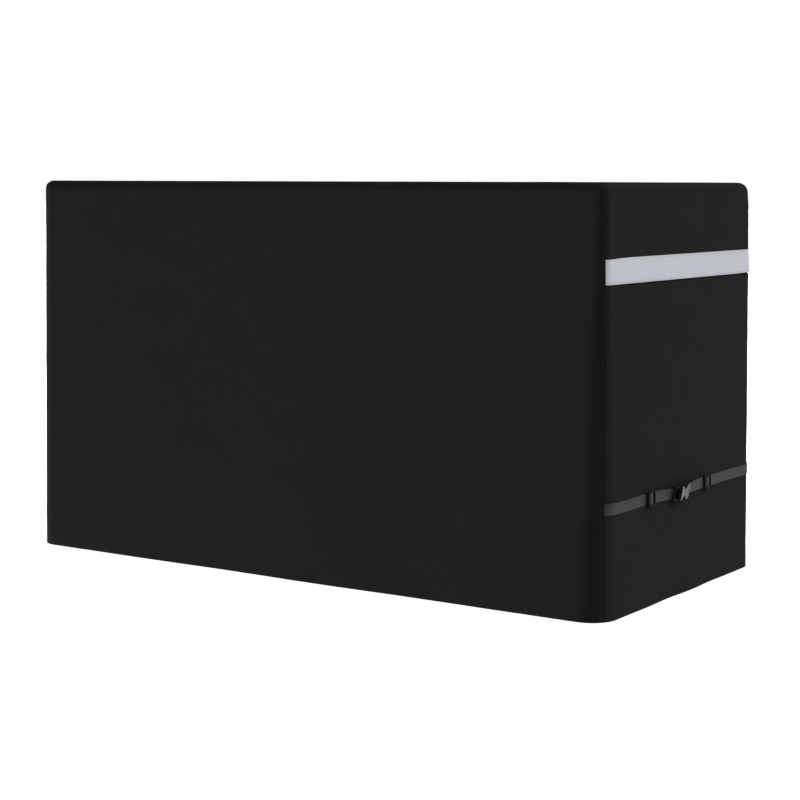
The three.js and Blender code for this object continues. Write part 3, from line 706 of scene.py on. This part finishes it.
def strap(name, towards):
    """One half of the strap, and its length."""
    half_depth = plan_at(Z_STRAP)[1]
    direction = -1 if towards == "front" else 1
    radius = corner_radius(Z_STRAP, at_tight_corner("right", direction))
    seam = half_depth - radius + radius * seam_turn("right", direction, Z_STRAP, 0.0)
    bar = BUCKLE_PLACE + direction * BAR_PLACE
    slider_at = abs(SLIDER_PLACES[towards] - bar)
    route = strap_route(slider_at, seam - direction * bar)
    path = refined(rounded_path(route), STRAP_STEP)
    step = np.gradient(path, axis=0)
    step /= np.linalg.norm(step, axis=1)[:, None]
    normal = np.column_stack([-step[:, 1], step[:, 0]])
    section_up, section_out = webbing_section()
    u = path[:, 0, None] + normal[:, 0, None] * section_out[None, :]
    o = path[:, 1, None] + normal[:, 1, None] * section_out[None, :]
    up = np.broadcast_to(section_up[None, :], u.shape)
    place = direction * u + bar
    share = lean_share(u, slider_at)
    lean = LEAN * share
    run = np.concatenate([[0], np.cumsum(np.linalg.norm(np.diff(path, axis=0), axis=1))])
    wander = WANDER * np.sin(2 * math.pi * run / WANDER_LENGTH + direction)[:, None]
    out = o * np.cos(lean) + up * np.sin(lean) + LEAN_LIFT * share
    z = Z_STRAP + up * np.cos(lean) - o * np.sin(lean) - LEAN_DROP * share + wander * (1 - share)
    along, turn = along_and_turn("right", place, Z_STRAP)
    points = wall_points("right", along, turn, z, 0.0, out)
    faces = tube_faces(*u.shape)
    if direction < 0:
        faces = [face[::-1] for face in faces]
    uv = np.stack([np.broadcast_to(run[:, None], u.shape), up], axis=-1)
    return mesh_object(name, points, faces, uv), run[-1]


# Moulded pieces

OVERLAP = 0.001  # how far a joined or a cutting block runs past the face that it meets
BAR_SIDES = 24


def outline_prism(points, low, high):
    """A closed plate from an outline in the plane of the strap."""
    work = bmesh.new()
    lower = [work.verts.new((x, y, low)) for x, y in points]
    upper = [work.verts.new((x, y, high)) for x, y in points]
    work.faces.new(lower[::-1])
    work.faces.new(upper)
    count = len(points)
    for number in range(count):
        after = (number + 1) % count
        work.faces.new([lower[number], lower[after], upper[after], upper[number]])
    bmesh.ops.recalc_face_normals(work, faces=work.faces)
    mesh = bpy.data.meshes.new("plate")
    work.to_mesh(mesh)
    work.free()
    return new_object("plate", mesh)


def box_between(low, high):
    corners = [(low[0], low[1]), (high[0], low[1]), (high[0], high[1]), (low[0], high[1])]
    return outline_prism(corners, low[2], high[2])


def round_bar(x, radius, half):
    """A round bar across the strap, its middle at the bar's height."""
    angles = np.linspace(0, 2 * math.pi, BAR_SIDES + 1)[:-1]
    bar = [(x + radius * math.cos(a), BAR_HEIGHT + radius * math.sin(a)) for a in angles]
    made = outline_prism(bar, -half, half)
    made.data.transform(Matrix.Rotation(math.pi / 2, 4, "X"))
    return made


def combined(base, others, operation):
    """Joins or cuts closed meshes, and removes the ones used up."""
    for other in others:
        step = base.modifiers.new("step", "BOOLEAN")
        step.operation = operation
        step.solver = "EXACT"
        step.object = other
        bpy.context.view_layer.objects.active = base
        bpy.ops.object.modifier_apply(modifier=step.name)
        bpy.data.objects.remove(other)
    return base


def softened(piece, name, width):
    """Names a moulded piece, rounds its sharp edges and shades it smooth."""
    piece.name = name
    bevel = piece.modifiers.new("eased edges", "BEVEL")
    bevel.width = width
    bevel.segments = 3
    bevel.limit_method = "ANGLE"
    bevel.angle_limit = math.radians(32)
    piece.data.polygons.foreach_set("use_smooth", [True] * len(piece.data.polygons))
    normals = piece.modifiers.new("normals", "WEIGHTED_NORMAL")
    normals.keep_sharp = True
    return piece


def arc(x, y, radius, first, last, steps=8):
    return [
        (x + radius * math.cos(a), y + radius * math.sin(a))
        for a in np.linspace(math.radians(first), math.radians(last), steps + 1)
    ]


def rounded_rectangle(x0, x1, half, radius):
    corners = ((x1 - radius, -1, -90), (x1 - radius, 1, 0), (x0 + radius, 1, 90), (x0 + radius, -1, 180))
    arcs = [arc(x, side * (half - radius), radius, first, first + 90) for x, side, first in corners]
    return [point for part in arcs for point in part]


# The slider's and the buckle's own sizes

SLIDER_CORNER = 0.004
SLIDER_EASED = 0.0008
FOOT_IN = SLIDER_RAIL_IN - 0.0005
FOOT_OUT = SLIDER_RAIL_OUT - 0.0006


def slider(name):
    """A webbing slider: two outer bars and a lower middle bar between two rails."""
    length = SLIDER_HALF_LENGTH
    top = SLIDER_BAR_LOW + SLIDER_BAR_THICK
    slot = length - SLIDER_OUTER_BAR
    half = SLIDER_MIDDLE_BAR / 2
    plate = rounded_rectangle(-length, length, SLIDER_RAIL_OUT, SLIDER_CORNER)
    made = outline_prism(plate, SLIDER_BAR_LOW, top)
    feet = []
    for low, high in ((-FOOT_OUT, -FOOT_IN), (FOOT_IN, FOOT_OUT)):
        corner = (-slot - OVERLAP, low, SLIDER_MIDDLE_LOW)
        feet.append(box_between(corner, (slot + OVERLAP, high, SLIDER_BAR_LOW + OVERLAP)))
    combined(made, feet, "UNION")
    window = box_between((-slot, -SLIDER_RAIL_IN, 0), (slot, SLIDER_RAIL_IN, top + OVERLAP))
    combined(made, [window], "DIFFERENCE")
    middle = box_between(
        (-half, -SLIDER_RAIL_IN - OVERLAP, SLIDER_MIDDLE_LOW),
        (half, SLIDER_RAIL_IN + OVERLAP, SLIDER_MIDDLE_LOW + SLIDER_MIDDLE_THICK),
    )
    combined(made, [middle], "UNION")
    return softened(made, name, SLIDER_EASED)


# Buckle sizes, seen from the front; its middle is at the origin, the socket on the -X side
HALF_HEIGHT = 0.017
BUCKLE_LOW = 0.0012
PLUG_HIGH = 0.0115
SOCKET_HIGH = 0.0152
WINDOW_IN = WEB_WIDTH / 2 + 0.0006
RIM = 0.004
RIM_LOW = 0.0077
MOUTH = 0.009
SHOULDER = 0.006
WAIST_MIDDLE = -0.008
WAIST_REACH = 0.013
WAIST_HALF = 0.008
CAVITY_END = -0.023
CAVITY_HALF = 0.013
CAVITY_LOW = 0.0044
CAVITY_HIGH = 0.0124
ARM_WIDTH = 0.005
BUMP_HALF = 0.0064
BUMP_RISE = 0.005
GUIDE_HALF = 0.0025
GUIDE_IN_PLUG = 0.003
GUIDE_SHORT = 0.012  # how far the guide ends before the cavity does
ARM_ROOT = 0.004
ARM_END = 0.002
ARM_SLANT = 0.003
WAIST_STEPS = 32
BUMP_STEPS = 20
SOCKET_CORNER = 0.004
PLUG_CORNER = 0.005
WEB_ROOM = 0.0008
END_STEP = 0.0012
BUCKLE_EASED = 0.0010


def web_window(direction, inner, top):
    """The opening that the webbing passes through, open in front inside the rim and under the rim to
    the buckle's end."""
    openings = []
    for end, height in ((BUCKLE_HALF - RIM, top), (BUCKLE_HALF + OVERLAP, RIM_LOW)):
        xs = sorted([direction * inner, direction * end])
        openings.append(box_between((xs[0], -WINDOW_IN, 0), (xs[1], WINDOW_IN, height)))
    return openings


def socket_half_height(x):
    away = abs(x - WAIST_MIDDLE) / WAIST_REACH
    dip = (1 + math.cos(math.pi * away)) / 2 if away < 1 else 0
    return HALF_HEIGHT + (WAIST_HALF - HALF_HEIGHT) * dip


def buckle_socket(name):
    """The hollow half, waisted in the middle, with the bar that its webbing goes round."""
    end = BUCKLE_HALF
    waist = np.linspace(WAIST_MIDDLE + WAIST_REACH, WAIST_MIDDLE - WAIST_REACH, WAIST_STEPS + 1)
    edge = [(MOUTH, HALF_HEIGHT - OVERLAP), (MOUTH - OVERLAP, HALF_HEIGHT)]
    edge += [(x, socket_half_height(x)) for x in waist]
    edge += arc(-end + SOCKET_CORNER, HALF_HEIGHT - SOCKET_CORNER, SOCKET_CORNER, 90, 180)
    outline = edge + [(x, -y) for x, y in reversed(edge)]
    made = outline_prism(outline, BUCKLE_LOW, SOCKET_HIGH)
    web_inner = BAR_PLACE - WRAP_RADIUS - WEB / 2 - WEB_ROOM
    over_end = box_between(
        (-end - OVERLAP, -HALF_HEIGHT - OVERLAP, PLUG_HIGH),
        (-web_inner + END_STEP, HALF_HEIGHT + OVERLAP, SOCKET_HIGH + OVERLAP),
    )
    cavity = box_between((CAVITY_END, -CAVITY_HALF, CAVITY_LOW), (MOUTH + OVERLAP, CAVITY_HALF, CAVITY_HIGH))
    combined(made, [over_end, cavity, *web_window(-1, web_inner, SOCKET_HIGH + OVERLAP)], "DIFFERENCE")
    combined(made, [round_bar(-BAR_PLACE, BAR_RADIUS, WINDOW_IN + OVERLAP)], "UNION")
    return softened(made, name, BUCKLE_EASED)


def arm_outline(side):
    outer = CAVITY_HALF - GAP
    inner = outer - ARM_WIDTH
    tip = CAVITY_END + ARM_END
    points = [(MOUTH + ARM_ROOT, inner), (MOUTH + ARM_ROOT, outer)]
    for angle in np.linspace(0, math.pi, BUMP_STEPS + 1):
        points.append((WAIST_MIDDLE + BUMP_HALF * math.cos(angle), outer + BUMP_RISE * math.sin(angle)))
    points += [(tip, outer - ARM_SLANT), (tip, inner - ARM_SLANT / 3), (WAIST_MIDDLE + ARM_ROOT, inner)]
    return [(x, side * y) for x, y in points]


def buckle_plug(name):
    """The half that is pushed in, with its two arms, a guide between them and its own bar."""
    start = MOUTH + GAP
    low = CAVITY_LOW + GAP
    high = CAVITY_HIGH - GAP
    plate = rounded_rectangle(start, BUCKLE_HALF, HALF_HEIGHT, PLUG_CORNER)
    made = outline_prism(plate, BUCKLE_LOW, PLUG_HIGH)
    combined(made, web_window(1, start + SHOULDER, PLUG_HIGH + OVERLAP), "DIFFERENCE")
    parts = [round_bar(BAR_PLACE, BAR_RADIUS, WINDOW_IN + OVERLAP)]
    parts += [outline_prism(arm_outline(side), low, high) for side in (-1, 1)]
    guide_end = (start + GUIDE_IN_PLUG, GUIDE_HALF, high)
    parts.append(box_between((CAVITY_END + GUIDE_SHORT, -GUIDE_HALF, low), guide_end))
    combined(made, parts, "UNION")
    return softened(made, name, BUCKLE_EASED)


def on_strap_line(piece, place, turned=False):
    """Puts a moulded piece on the strap's line on the right wall. A turned one is the buckle, which hangs
    with its upper edge out from the wall."""
    tilt = math.atan(HEM_FLARE / HEIGHT)
    basis = Matrix(
        (
            (0, -math.sin(tilt), math.cos(tilt)),
            (1, 0, 0),
            (0, math.cos(tilt), math.sin(tilt)),
        )
    ).to_4x4()
    line = Matrix.Translation((plan_at(Z_STRAP)[0], 0, Z_STRAP)) @ basis
    local = Matrix.Translation((place, 0, 0))
    if turned:
        local = Matrix.Translation((place, -LEAN_DROP, LEAN_LIFT))
        local = local @ Matrix.Rotation(LEAN, 4, "X") @ Matrix.Rotation(math.pi, 4, "Z")
    piece.matrix_world = line @ local
    return piece


# Materials


CLOTH_COLOUR = (0.0137, 0.0137, 0.0137)
CLOTH_SPECULAR = 0.04
BLACK_THREAD_COLOUR = (0.016, 0.016, 0.017)
BAND_COLOUR = (0.52, 0.535, 0.58)
BAND_THREAD_COLOUR = (0.40, 0.41, 0.44)
WEBBING_COLOUR = (0.0205, 0.0205, 0.0212)
PLASTIC_COLOUR = (0.008, 0.008, 0.009)
FLOOR_COLOUR = (0.85, 0.85, 0.85)
FLOOR_GLOW = 1.0
YARN = 0.00075  # pitch of the cloth's weave
BAND_YARN = 0.00045
YARN_ARCH = 0.4
WEBBING_RIBS = 11
WEBBING_PICK = 0.0014


class Nodes:
    """Short calls for building the nodes of a material or a world."""

    def __init__(self, owner, kind):
        owner.use_nodes = True
        self.owner = owner
        self.tree = owner.node_tree
        self.tree.nodes.clear()
        self.surface = self.add("ShaderNodeOutput" + kind).inputs["Surface"]

    def add(self, kind, **values):
        node = self.tree.nodes.new(kind)
        for key, value in values.items():
            setattr(node, key, value)
        return node

    def link(self, source, target):
        if isinstance(source, (int, float, tuple)):
            target.default_value = source
        else:
            self.tree.links.new(source, target)

    def math(self, operation, first, second=0.0, third=0.0):
        node = self.add("ShaderNodeMath", operation=operation)
        for socket, value in zip(node.inputs, (first, second, third)):
            self.link(value, socket)
        return node.outputs[0]

    def weigh(self, value, share, base):
        """A value times a share, on top of a base."""
        return self.math("MULTIPLY_ADD", value, share, base)


class Finish(Nodes):
    """A material of one principled shader."""

    def __init__(self, name):
        super().__init__(bpy.data.materials.new(name), "Material")
        self.shader = self.add("ShaderNodeBsdfPrincipled")
        self.link(self.shader.outputs[0], self.surface)

    def cloth_place(self):
        """The place on the cloth in metres, across and up."""
        uv = self.add("ShaderNodeUVMap", uv_map="cloth")
        split = self.add("ShaderNodeSeparateXYZ")
        self.link(uv.outputs[0], split.inputs[0])
        return uv.outputs[0], split.outputs[0], split.outputs[1]

    def scaled(self, vector, scale):
        node = self.add("ShaderNodeVectorMath", operation="MULTIPLY")
        self.link(vector, node.inputs[0])
        node.inputs[1].default_value = scale
        return node.outputs[0]

    def noise(self, vector, scale, detail=2.0, roughness=0.5):
        node = self.add("ShaderNodeTexNoise")
        self.link(vector, node.inputs["Vector"])
        node.inputs["Scale"].default_value = scale
        node.inputs["Detail"].default_value = detail
        node.inputs["Roughness"].default_value = roughness
        return node.outputs["Fac"]

    def object_noise(self, scale, detail=2.0):
        return self.noise(self.add("ShaderNodeTexCoord").outputs["Object"], scale, detail)

    def tinted(self, colour, share):
        """A colour made lighter or darker by a factor."""
        node = self.add("ShaderNodeMix", data_type="RGBA", blend_type="MULTIPLY")
        node.inputs["Factor"].default_value = 1.0
        self.link((*colour, 1.0), node.inputs["A"])
        grey = self.add("ShaderNodeCombineColor")
        for socket in grey.inputs[:3]:
            self.link(share, socket)
        self.link(grey.outputs[0], node.inputs["B"])
        self.link(node.outputs["Result"], self.shader.inputs["Base Color"])

    def bump(self, height, distance, strength):
        node = self.add("ShaderNodeBump")
        node.inputs["Strength"].default_value = strength
        node.inputs["Distance"].default_value = distance
        self.link(height, node.inputs["Height"])
        self.link(node.outputs[0], self.shader.inputs["Normal"])

    def finish(self, roughness, specular):
        self.link(roughness, self.shader.inputs["Roughness"])
        self.link(specular, self.shader.inputs["Specular IOR Level"])
        return self.owner


def plain_weave(nodes, across, up, pitch):
    """Height of a plain weave: each yarn is round across and arches over the next crossing."""
    half_turn = math.pi / pitch
    wave_across = nodes.math("SINE", nodes.math("MULTIPLY", across, half_turn))
    wave_up = nodes.math("SINE", nodes.math("MULTIPLY", up, half_turn))
    round_across = nodes.math("ABSOLUTE", wave_across)
    round_up = nodes.math("ABSOLUTE", wave_up)
    over = nodes.math("MULTIPLY", wave_across, wave_up)
    over = nodes.math("GREATER_THAN", over, 0.0)
    warp = nodes.math("MULTIPLY", round_across, nodes.math("POWER", round_up, YARN_ARCH))
    weft = nodes.math("MULTIPLY", round_up, nodes.math("POWER", round_across, YARN_ARCH))
    mix = nodes.add("ShaderNodeMix", data_type="FLOAT")
    nodes.link(over, mix.inputs[0])
    nodes.link(warp, mix.inputs[2])
    nodes.link(weft, mix.inputs[3])
    return mix.outputs[0]


def cloth_material():
    nodes = Finish("black_cloth")
    place, across, up = nodes.cloth_place()
    weave = plain_weave(nodes, across, up, YARN)
    warp_streaks = nodes.noise(nodes.scaled(place, (1.0, 0.02, 1.0)), 900.0)
    weft_streaks = nodes.noise(nodes.scaled(place, (0.02, 1.0, 1.0)), 900.0)
    streaks = nodes.math("MULTIPLY", nodes.math("ADD", warp_streaks, weft_streaks), 0.24)
    broad = nodes.math("MULTIPLY", nodes.noise(place, 9.0, 3.0), 0.16)
    tone = nodes.math("ADD", nodes.math("ADD", streaks, broad), 0.68)
    tone = nodes.weigh(weave, 0.22, nodes.math("SUBTRACT", tone, 0.13))
    nodes.tinted(CLOTH_COLOUR, tone)
    height = nodes.weigh(warp_streaks, 0.5, weave)
    nodes.bump(height, distance=0.00012, strength=0.6)
    return nodes.finish(0.82, CLOTH_SPECULAR)


def thread_material(name, colour, unevenness):
    nodes = Finish(name)
    grain = nodes.object_noise(2600.0)
    nodes.tinted(colour, nodes.weigh(grain, unevenness, 1 - unevenness / 2))
    nodes.bump(grain, distance=0.00008, strength=0.6)
    return nodes.finish(roughness=0.6, specular=0.3)


def band_material():
    nodes = Finish("reflective_tape")
    place, across, up = nodes.cloth_place()
    grain = nodes.noise(place, 1500.0, detail=3.0, roughness=0.6)
    weave = plain_weave(nodes, across, up, BAND_YARN)
    broad = nodes.noise(nodes.scaled(place, (1.0, 0.25, 1.0)), 26.0, 3.0)
    tone = nodes.weigh(grain, 0.10, 0.86)
    tone = nodes.weigh(broad, 0.12, tone)
    tone = nodes.weigh(weave, 0.05, tone)
    nodes.tinted(BAND_COLOUR, tone)
    height = nodes.weigh(grain, 0.7, weave)
    nodes.bump(height, distance=0.00005, strength=0.5)
    return nodes.finish(roughness=0.5, specular=0.4)


def webbing_material():
    nodes = Finish("ribbed_webbing")
    place, along, up = nodes.cloth_place()
    rib = WEB_WIDTH / WEBBING_RIBS
    ribs = nodes.math("SINE", nodes.math("MULTIPLY", up, 2 * math.pi / rib))
    ribs = nodes.weigh(ribs, 0.5, 0.5)
    slant = nodes.math("SINE", nodes.math("MULTIPLY", up, math.pi / rib))
    slant = nodes.math("MULTIPLY", nodes.math("ABSOLUTE", slant), 0.9)
    picks = nodes.math("ADD", nodes.math("MULTIPLY", along, 2 * math.pi / WEBBING_PICK), slant)
    picks = nodes.weigh(nodes.math("SINE", picks), 0.5, 0.5)
    height = nodes.weigh(picks, 0.55, ribs)
    fuzz = nodes.noise(nodes.scaled(place, (1.0, 0.3, 1.0)), 1800.0)
    broad = nodes.noise(place, 60.0)
    tone = nodes.weigh(height, 0.20, 0.62)
    tone = nodes.weigh(fuzz, 0.35, tone)
    tone = nodes.weigh(broad, 0.10, tone)
    # Painted shade: the webbing's colour is drawn lighter toward its lower edge and darker toward its upper
    # edge, as light falls on it.
    painted_shade_across = nodes.weigh(up, -9.0, 0.98)
    # Painted shadow: the colour darkens in a thin line along both edges of the webbing.
    edge = nodes.math("DIVIDE", nodes.math("ABSOLUTE", up), WEB_WIDTH / 2)
    painted_edge_shadow = nodes.weigh(nodes.math("POWER", edge, 14.0), -0.55, 1.0)
    tone = nodes.math("MULTIPLY", nodes.math("MULTIPLY", tone, painted_shade_across), painted_edge_shadow)
    nodes.tinted(WEBBING_COLOUR, tone)
    nodes.bump(nodes.weigh(fuzz, 0.3, height), distance=0.00022, strength=0.7)
    return nodes.finish(roughness=0.62, specular=0.4)


def plastic_material(name, roughness, specular):
    nodes = Finish(name)
    broad = nodes.object_noise(220.0, detail=3.0)
    nodes.tinted(PLASTIC_COLOUR, nodes.weigh(broad, 0.6, 0.7))
    nodes.bump(nodes.object_noise(2500.0), distance=0.00002, strength=0.35)
    return nodes.finish(nodes.weigh(broad, 0.14, roughness), specular)


def floor_material():
    """A bright white table, lit from inside as a shadowless studio table is."""
    nodes = Finish("white_table")
    nodes.tinted(FLOOR_COLOUR, nodes.weigh(nodes.object_noise(3.0), 0.02, 0.98))
    nodes.link((1, 1, 1, 1), nodes.shader.inputs["Emission Color"])
    nodes.link(FLOOR_GLOW, nodes.shader.inputs["Emission Strength"])
    return nodes.finish(roughness=0.9, specular=0.0)


# The pieces of the cover

SLOTS = {"cloth": cloth_material(), "reflective_cloth": band_material(), "webbing": webbing_material()}
SLOTS["black_plastic"] = plastic_material("polished_plastic", roughness=0.15, specular=0.5)
GRAINED_PLASTIC = plastic_material("grained_plastic", roughness=0.52, specular=0.04)
THREAD = thread_material("black_thread", BLACK_THREAD_COLOUR, 0.8)
BAND_THREAD = thread_material("band_thread", BAND_THREAD_COLOUR, 0.5)


def shown(piece, slot, nodes=(), material=None):
    """Gives a piece its finish and puts it on the cover's body in place of its solids."""
    piece.data.materials.clear()
    piece.data.materials.append(material or SLOTS[slot])
    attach(piece, BODY)
    if nodes:
        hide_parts(*nodes)
    return piece


top = shown(top_panel("top_cloth"), "cloth", ["top_panel"])
for side, node in (
    ("front", "front_panel"),
    ("back", "back_panel"),
    ("right", "right_end_panel"),
    ("left", "left_end_panel"),
):
    shown(wall_panel(side + "_cloth", side), "cloth", [node])


def band_height(up, across):
    """Height over the band's middle line of a place on it. Its edges aren't sewn quite parallel."""
    half = BAND_WIDTH / 2
    end = plan_at(Z_BAND)[1]
    near_front = smoothstep(-across, end - BAND_DIP_OVER, end) ** 2
    near_back = smoothstep(across, end - BAND_RISE_OVER, end) ** 2
    upper_share = np.clip(up / half, 0, 1)
    lower_share = np.clip(-up / half, 0, 1)
    return up - BAND_DIP * near_front * upper_share + (BAND_RISE * near_back + BAND_RAISED) * lower_share


def band_clear(up, across, z):
    """How far the band keeps from the wall behind it: its lower edge stands off, and it bridges the fold."""
    edge = BAND_WIDTH / 2
    drawn_in = np.minimum(pull(across, z - Z_HEM), 0)
    return GAP + BAND_STAND_OFF * smoothstep(-up, edge - BAND_LOOSE, edge) - drawn_in


def band(name):
    """The reflective band with its edges turned under."""
    along, share, _, depth = wall_columns("right")
    on_face = depth == 0
    along, share = along[on_face], share[on_face]
    across = across_of("right", along, share * seam_turn("right", along, Z_BAND, 0.0), Z_BAND)
    fold = BAND_CLOTH / 2
    half = BAND_WIDTH / 2
    bend = np.linspace(-math.pi / 2, math.pi / 2, BAND_FOLD_STEPS + 1)
    flat = spread(fold - half, half - fold, BAND_STEP)[1:-1]
    up = np.concatenate([fold - half - fold * np.cos(bend), flat, half - fold + fold * np.cos(bend)])
    face = np.full(len(flat), 2 * fold)
    out = np.concatenate([fold + fold * np.sin(bend), face, fold - fold * np.sin(bend)])
    groove = np.exp(-(((np.abs(up) - (half - BAND_STITCH)) / BAND_GROOVE_HALF) ** 2))
    out = out - BAND_GROOVE * groove * (out > 1.5 * fold)
    up, out = up[:, None], out[:, None]
    z = Z_BAND + band_height(up, across)
    turn = share * seam_turn("right", along, z, 0.0)
    points = wall_points("right", along, turn, z, 0.0, out + band_clear(up, across, z))
    uv = np.stack(np.broadcast_arrays(across, up), axis=-1)
    rows, columns = z.shape
    index = np.arange(rows * columns).reshape(rows, columns)
    faces = [list(face) for face in grid_faces(rows, columns)]
    faces += np.column_stack([index[-1, :-1], index[-1, 1:], index[0, 1:], index[0, :-1]]).tolist()
    faces += [index[::-1, 0], index[:, -1]]
    return mesh_object(name, points, faces, uv)


band_piece = shown(band("band_cloth"), "reflective_cloth", ["reflective_band"])
strap_lengths = {}
for towards in ("front", "back"):
    piece, strap_lengths[towards] = strap("webbing_" + towards, towards)
    shown(piece, "webbing", ["strap_" + towards])
    hardware = on_strap_line(slider("slider_" + towards + "_moulded"), SLIDER_PLACES[towards])
    shown(hardware, "black_plastic", ["slider_" + towards], GRAINED_PLASTIC)
socket = on_strap_line(buckle_socket("socket_moulded"), BUCKLE_PLACE, True)
shown(socket, "black_plastic", ["buckle_socket"])
plug = on_strap_line(buckle_plug("plug_moulded"), BUCKLE_PLACE, True)
shown(plug, "black_plastic", ["buckle_plug"], GRAINED_PLASTIC)


# Stitches

STITCHES_IN = 0.003  # how far from a seam the lines across the walls start
TOP_STITCHES_IN = 0.001
SEAM_STITCHES_LOW = Z_HEM + 0.004
SEAM_STITCHES_HIGH = EDGE_START - 0.002
hem_rows = {}
for side in SIDES:
    z = Z_HEM + HEM_STITCH_HEIGHT
    along, turn = across_wall(side, z, STITCHES_IN)
    hem_rows[side] = wall_stitches("hem_stitches_" + side, [(side, along, turn, z, 0.0, ON_CLOTH, False)])
    shown(hem_rows[side], "cloth", material=THREAD)

for side in ("right", "left"):
    rows = []
    for end in (-1.0, 1.0):
        z = spread(SEAM_STITCHES_LOW, SEAM_STITCHES_HIGH, STITCH_PITCH)
        turn = seam_turn(side, end, z, 0.0, SEAM_STITCH_DISTANCE)
        rows.append((side, end, turn, z, 0.0, ON_CLOTH, True))
    shown(wall_stitches("seam_stitches_" + side, rows), "cloth", material=THREAD)


def top_stitches(name):
    """Stitches on the top, along its seam."""
    lift = TOP_SEAM_LIFT + SEAM_STITCH_DISTANCE / TOP_EDGE_RADIUS
    places, ups, facings = [], [], []
    for side in SIDES:
        along, turn = across_wall(side, EDGE_START, TOP_STITCHES_IN)
        point = even_wall_points(side, along, turn, EDGE_START, lift, 0.0)
        point[:, 2] = top_height(point[:, 0], point[:, 1]) + ON_CLOTH
        outward = top_outline_shape(point[:, 0], point[:, 1])[1]
        facing = np.column_stack([outward * math.cos(lift), np.full(len(point), math.sin(lift))])
        places.append(drooped(point))
        ups.append(squared(np.gradient(point, axis=0), facing))
        facings.append(facing)
    return stitches(name, places, ups, facings)


top_seam_stitches = shown(top_stitches("top_seam_stitches"), "cloth", material=THREAD)

band_rows = []
for edge in (-1, 1):
    up = edge * (BAND_WIDTH / 2 - BAND_STITCH)
    along, turn = across_wall("right", Z_BAND + up, STITCHES_IN)
    across = across_of("right", along, turn, Z_BAND)
    z = Z_BAND + band_height(up, across)
    out = BAND_CLOTH - ON_CLOTH + band_clear(up, across, z)
    band_rows.append(("right", along, turn, z, 0.0, out, False))
band_stitches = shown(wall_stitches("band_stitches", band_rows), "reflective_cloth", material=BAND_THREAD)


# Camera, light and floor

CAMERA_PLACE = (2.6430, -3.9083, 0.0043)
CAMERA_AROUND = math.radians(33.656)
CAMERA_DOWN = math.radians(6.57)
CAMERA_ROLL = 0.00324
CAMERA_LENS = 85.04
CAMERA_SENSOR = 36.0

camera_data = bpy.data.cameras.new("camera")
camera_data.lens = CAMERA_LENS
camera_data.sensor_width = CAMERA_SENSOR
camera_data.clip_end = 200
camera = new_object("camera", camera_data)
camera.matrix_world = (
    Matrix.Translation(CAMERA_PLACE)
    @ Matrix.Rotation(CAMERA_AROUND, 4, "Z")
    @ Matrix.Rotation(math.pi / 2 - CAMERA_DOWN, 4, "X")
    @ Matrix.Rotation(CAMERA_ROLL, 4, "Z")
)
bpy.context.scene.camera = camera

FLOOR_HALF = 60.0
FLOOR_CLEAR = 0.004  # how far the hem is off the floor
corners = ((-1, -1), (1, -1), (1, 1), (-1, 1))
floor_points = np.array([[x * FLOOR_HALF, y * FLOOR_HALF, Z_HEM - FLOOR_CLEAR] for x, y in corners])
floor = mesh_object("floor", floor_points, [[0, 1, 2, 3]])
floor.data.materials.append(floor_material())
floor.visible_glossy = False
floor.visible_diffuse = False
floor.visible_shadow = False

# Soft light from the surroundings: each lobe is a wide pale panel, far off in one direction.
LIGHT_BASE = 0.05
LIGHT_LOBES = (
    {"heading": -152, "height": -32, "inner": 6, "outer": 31, "strength": 9.0},
    {"heading": 62, "height": -20, "inner": 14, "outer": 30, "strength": 1.2},
    {"heading": 20, "height": 42, "inner": 8, "outer": 30, "strength": 6.0},
    {"heading": 0, "height": 90, "inner": 20, "outer": 62, "strength": 0.8},
    {"heading": 0, "height": -90, "inner": 30, "outer": 75, "strength": 1.05},
)


def light_world():
    world = bpy.data.worlds.new("studio")
    bpy.context.scene.world = world
    nodes = Nodes(world, "World")
    direction = nodes.add("ShaderNodeTexCoord").outputs["Generated"]
    total = LIGHT_BASE
    for lobe in LIGHT_LOBES:
        around, above = math.radians(lobe["heading"]), math.radians(lobe["height"])
        towards = (math.cos(around) * math.cos(above), math.sin(around) * math.cos(above), math.sin(above))
        facing = nodes.add("ShaderNodeVectorMath", operation="DOT_PRODUCT")
        nodes.link(direction, facing.inputs[0])
        nodes.link(towards, facing.inputs[1])
        fade = nodes.add("ShaderNodeMapRange", interpolation_type="SMOOTHSTEP")
        nodes.link(facing.outputs["Value"], fade.inputs["Value"])
        nodes.link(math.cos(math.radians(lobe["outer"])), fade.inputs["From Min"])
        nodes.link(math.cos(math.radians(lobe["inner"])), fade.inputs["From Max"])
        total = nodes.weigh(fade.outputs["Result"], lobe["strength"], total)
    mix = nodes.add("ShaderNodeMixShader")
    nodes.link(nodes.add("ShaderNodeLightPath").outputs["Is Camera Ray"], mix.inputs["Fac"])
    for strength, socket in ((total, mix.inputs[1]), (1.0, mix.inputs[2])):
        glow = nodes.add("ShaderNodeBackground")
        nodes.link((1, 1, 1, 1), glow.inputs["Color"])
        nodes.link(strength, glow.inputs["Strength"])
        nodes.link(glow.outputs[0], socket)
    nodes.link(mix.outputs[0], nodes.surface)


light_world()
bpy.context.scene.view_settings.view_transform = "Standard"

bpy.context.view_layer.update()
